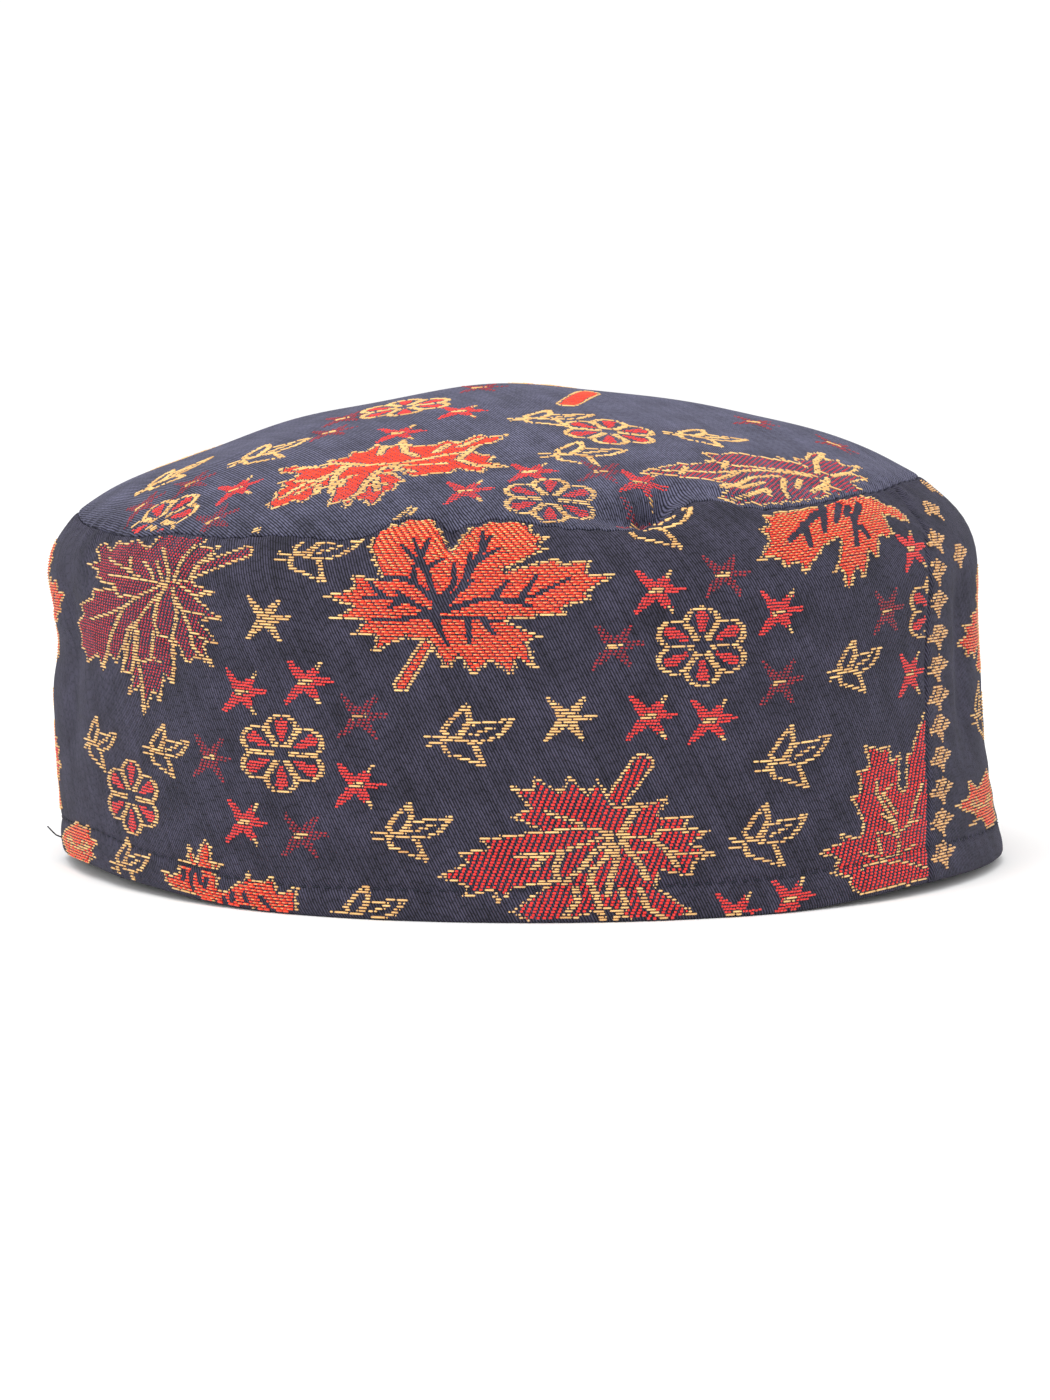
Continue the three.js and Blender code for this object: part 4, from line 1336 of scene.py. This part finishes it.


# One float: eight corners as (share along, side, proud), and its twelve triangles
# Painted highlight and shade on each float: its crest lighter, its sides darker and its tips darkest
floatCrestLight = np.array([0.05, 0.35, 0.85, 0.35, 0.35, 0.85, 0.35, 0.05])
floatFaces = np.array([
    (0, 2, 1), (0, 3, 2), (0, 1, 3),
    (1, 2, 5), (1, 5, 4), (2, 3, 6), (2, 6, 5), (3, 1, 4), (3, 4, 6),
    (7, 4, 5), (7, 5, 6), (7, 6, 4),
])


def floatMesh(cloth, chart, places, shape, name, finish, keep, random):
    row, first, last = places
    x0 = chart.x[0] - weave["end"] / 2 + first * weave["end"]
    x1 = chart.x[0] - weave["end"] / 2 + last * weave["end"]
    y = chart.y[row] + random.normal(0, float3d["jitter"], len(row))
    x0 = x0 + random.normal(0, float3d["jitter"], len(row))
    x1 = x1 + random.normal(0, float3d["jitter"], len(row))
    fits = (x1 - x0 > float3d["shortest"]) & keep(x0, y) & keep(x1, y)
    x0, x1, y = x0[fits], x1[fits], y[fits]
    taper = np.minimum(shape["taper"], (x1 - x0) * 0.4)
    half = shape["width"] / 2
    proud = shape["proud"] * (0.75 + 0.25 * np.minimum((x1 - x0) / 1.2, 1.4))
    low = -float3d["sunk"] * np.ones(len(y))
    corners = [(x0, y, low)]
    for along in (x0 + taper, x1 - taper):
        corners.extend([(along, y - half, low), (along, y, proud), (along, y + half, low)])
    corners.append((x1, y, low))
    points = np.stack([cloth.at(*corner) for corner in corners], 1)
    count = len(y)
    faces = (floatFaces[None] + 8 * np.arange(count)[:, None, None]).reshape(-1, 3)
    tonesAndCrestLight = (random.normal(0, 0.12, (count, 1)) + floatCrestLight).ravel()
    return meshPiece(name, points.reshape(-1, 3), faces, finish, None, tonesAndCrestLight)


finishes = {
    gold: threadFinish("goldThread", (168, 104, 50), (255, 212, 138)),
    orange: threadFinish("orangeThread", (200, 28, 18), (255, 78, 44)),
    crimson: threadFinish("crimsonThread", (176, 14, 22), (255, 56, 48)),
    maroon: threadFinish("maroonThread", (96, 14, 30), (226, 44, 58)),
    dim: threadFinish("dimThread", (60, 16, 28), (176, 38, 50)),
    dull: threadFinish("dullGoldThread", (168, 110, 60), (250, 200, 134)),
    red: threadFinish("redThread", (150, 20, 26), (255, 66, 60)),
}


def bandKeeps(x, y):
    return (bandCloth.room(x, y) > 0.7) & (y > 0.6) & (np.abs(bandJoinGap(x, y)) > 0.35)


def crownKeeps(x, y):
    return crownCloth.room(x, y) > 0.7


def weave3d(cloth, chart, panel, yarns, keep, random, slim):
    for yarn in yarns:
        shape = dict(bindings[yarn])
        shape["width"] *= slim
        shape["proud"] *= slim
        name = panel + yarnNames[yarn].capitalize()
        piece = floatMesh(cloth, chart, runs(chart, yarn), shape, name, finishes[yarn], keep, random)
        print(name, len(piece.data.polygons))


bandFigures = bandChart()
weave3d(bandCloth, bandFigures, "band", range(1, 8), bandKeeps, np.random.default_rng(21), 1.0)
weave3d(crownCloth, crownChart(), "crown", (gold, orange, maroon, dim, red), crownKeeps, np.random.default_rng(22), 0.78)
flecks = floatMesh(
    bandCloth, bandFigures, fleckRuns(bandFigures), fleck, "bandFlecks", finishes[gold], bandKeeps,
    np.random.default_rng(23),
)
print("figures are woven, flecks:", len(flecks.data.polygons))


# Sewing thread: the hem's stitches and a loose end

sewing = {"radius": 0.17, "stitch": 1.7, "pitch": 2.6, "sides": 5, "proud": 0.1}
looseEnd = {"angle": -177, "height": 3, "points": [(0, 0, 0.1), (-0.9, -1.2, 0.7), (-1.4, -2.9, 1.6), (-2.4, -4.1, 3.0)]}


# A tube of a few sides along each row of points, joined as one mesh
def tubes(lines, radius, sides):
    points = []
    faces = []
    for line in lines:
        line = np.asarray(line, float)
        ways = unit(np.gradient(line, axis=0))
        aside = unit(np.cross(ways, np.array([0.31, 0.17, 0.93])))
        above = np.cross(ways, aside)
        start = len(points)
        for centre, first, second in zip(line, aside, above):
            for side in range(sides):
                turn = 2 * math.pi * side / sides
                points.append(centre + radius * (math.cos(turn) * first + math.sin(turn) * second))
        for ring in range(len(line) - 1):
            for side in range(sides):
                here = start + ring * sides
                after = (side + 1) % sides
                faces.append([here + side, here + after, here + sides + after, here + sides + side])
        last = start + (len(line) - 1) * sides
        faces.append([start + side for side in range(sides)][::-1])
        faces.append([last + side for side in range(sides)])
    return np.array(points), faces


def hemStitches():
    random = np.random.default_rng(5)
    lines = []
    for along in np.arange(1.0, girth - 1.0, sewing["pitch"]):
        x = along + np.linspace(0, sewing["stitch"], 4)
        column = bandCloth.column(x, x * 0)
        angle = np.interp(column, np.arange(len(roundAngles)), roundAngles)
        height = between(hemRows, angle) + random.normal(0, 0.08)
        proud = np.array([-0.25, sewing["proud"], sewing["proud"], -0.25])
        lines.append(bandCloth.at(x, height, proud))
    paint = Paint("sewingThread")
    finish = paint.surface({"Base Color": tint(30, 32, 44), "Roughness": 0.7, "Specular IOR Level": 0.3})
    points, faces = tubes(lines, sewing["radius"], sewing["sides"])
    meshPiece("hemStitches", points, faces, finish)
    root = clothPoint(looseEnd["angle"], looseEnd["height"] / sideHeight)
    line = [root + np.array([x, y, z]) for x, y, z in looseEnd["points"]]
    points, faces = tubes([line], 0.16, 5)
    meshPiece("looseThread", points, faces, finish)


hemStitches()
print("hem is stitched")


# Floor

def floorSheet():
    half = studio["floorHalf"] * mm
    bpy.ops.mesh.primitive_plane_add(size=2 * half, location=(0, 0, 0))
    floor = bpy.context.active_object
    floor.name = "floor"
    paint = Paint("floorPaint")
    white = studio["floorWhite"]
    floor.data.materials.append(paint.surface({"Base Color": (white, white, white, 1), "Roughness": 1.0}))


floorSheet()
print("floor is laid")
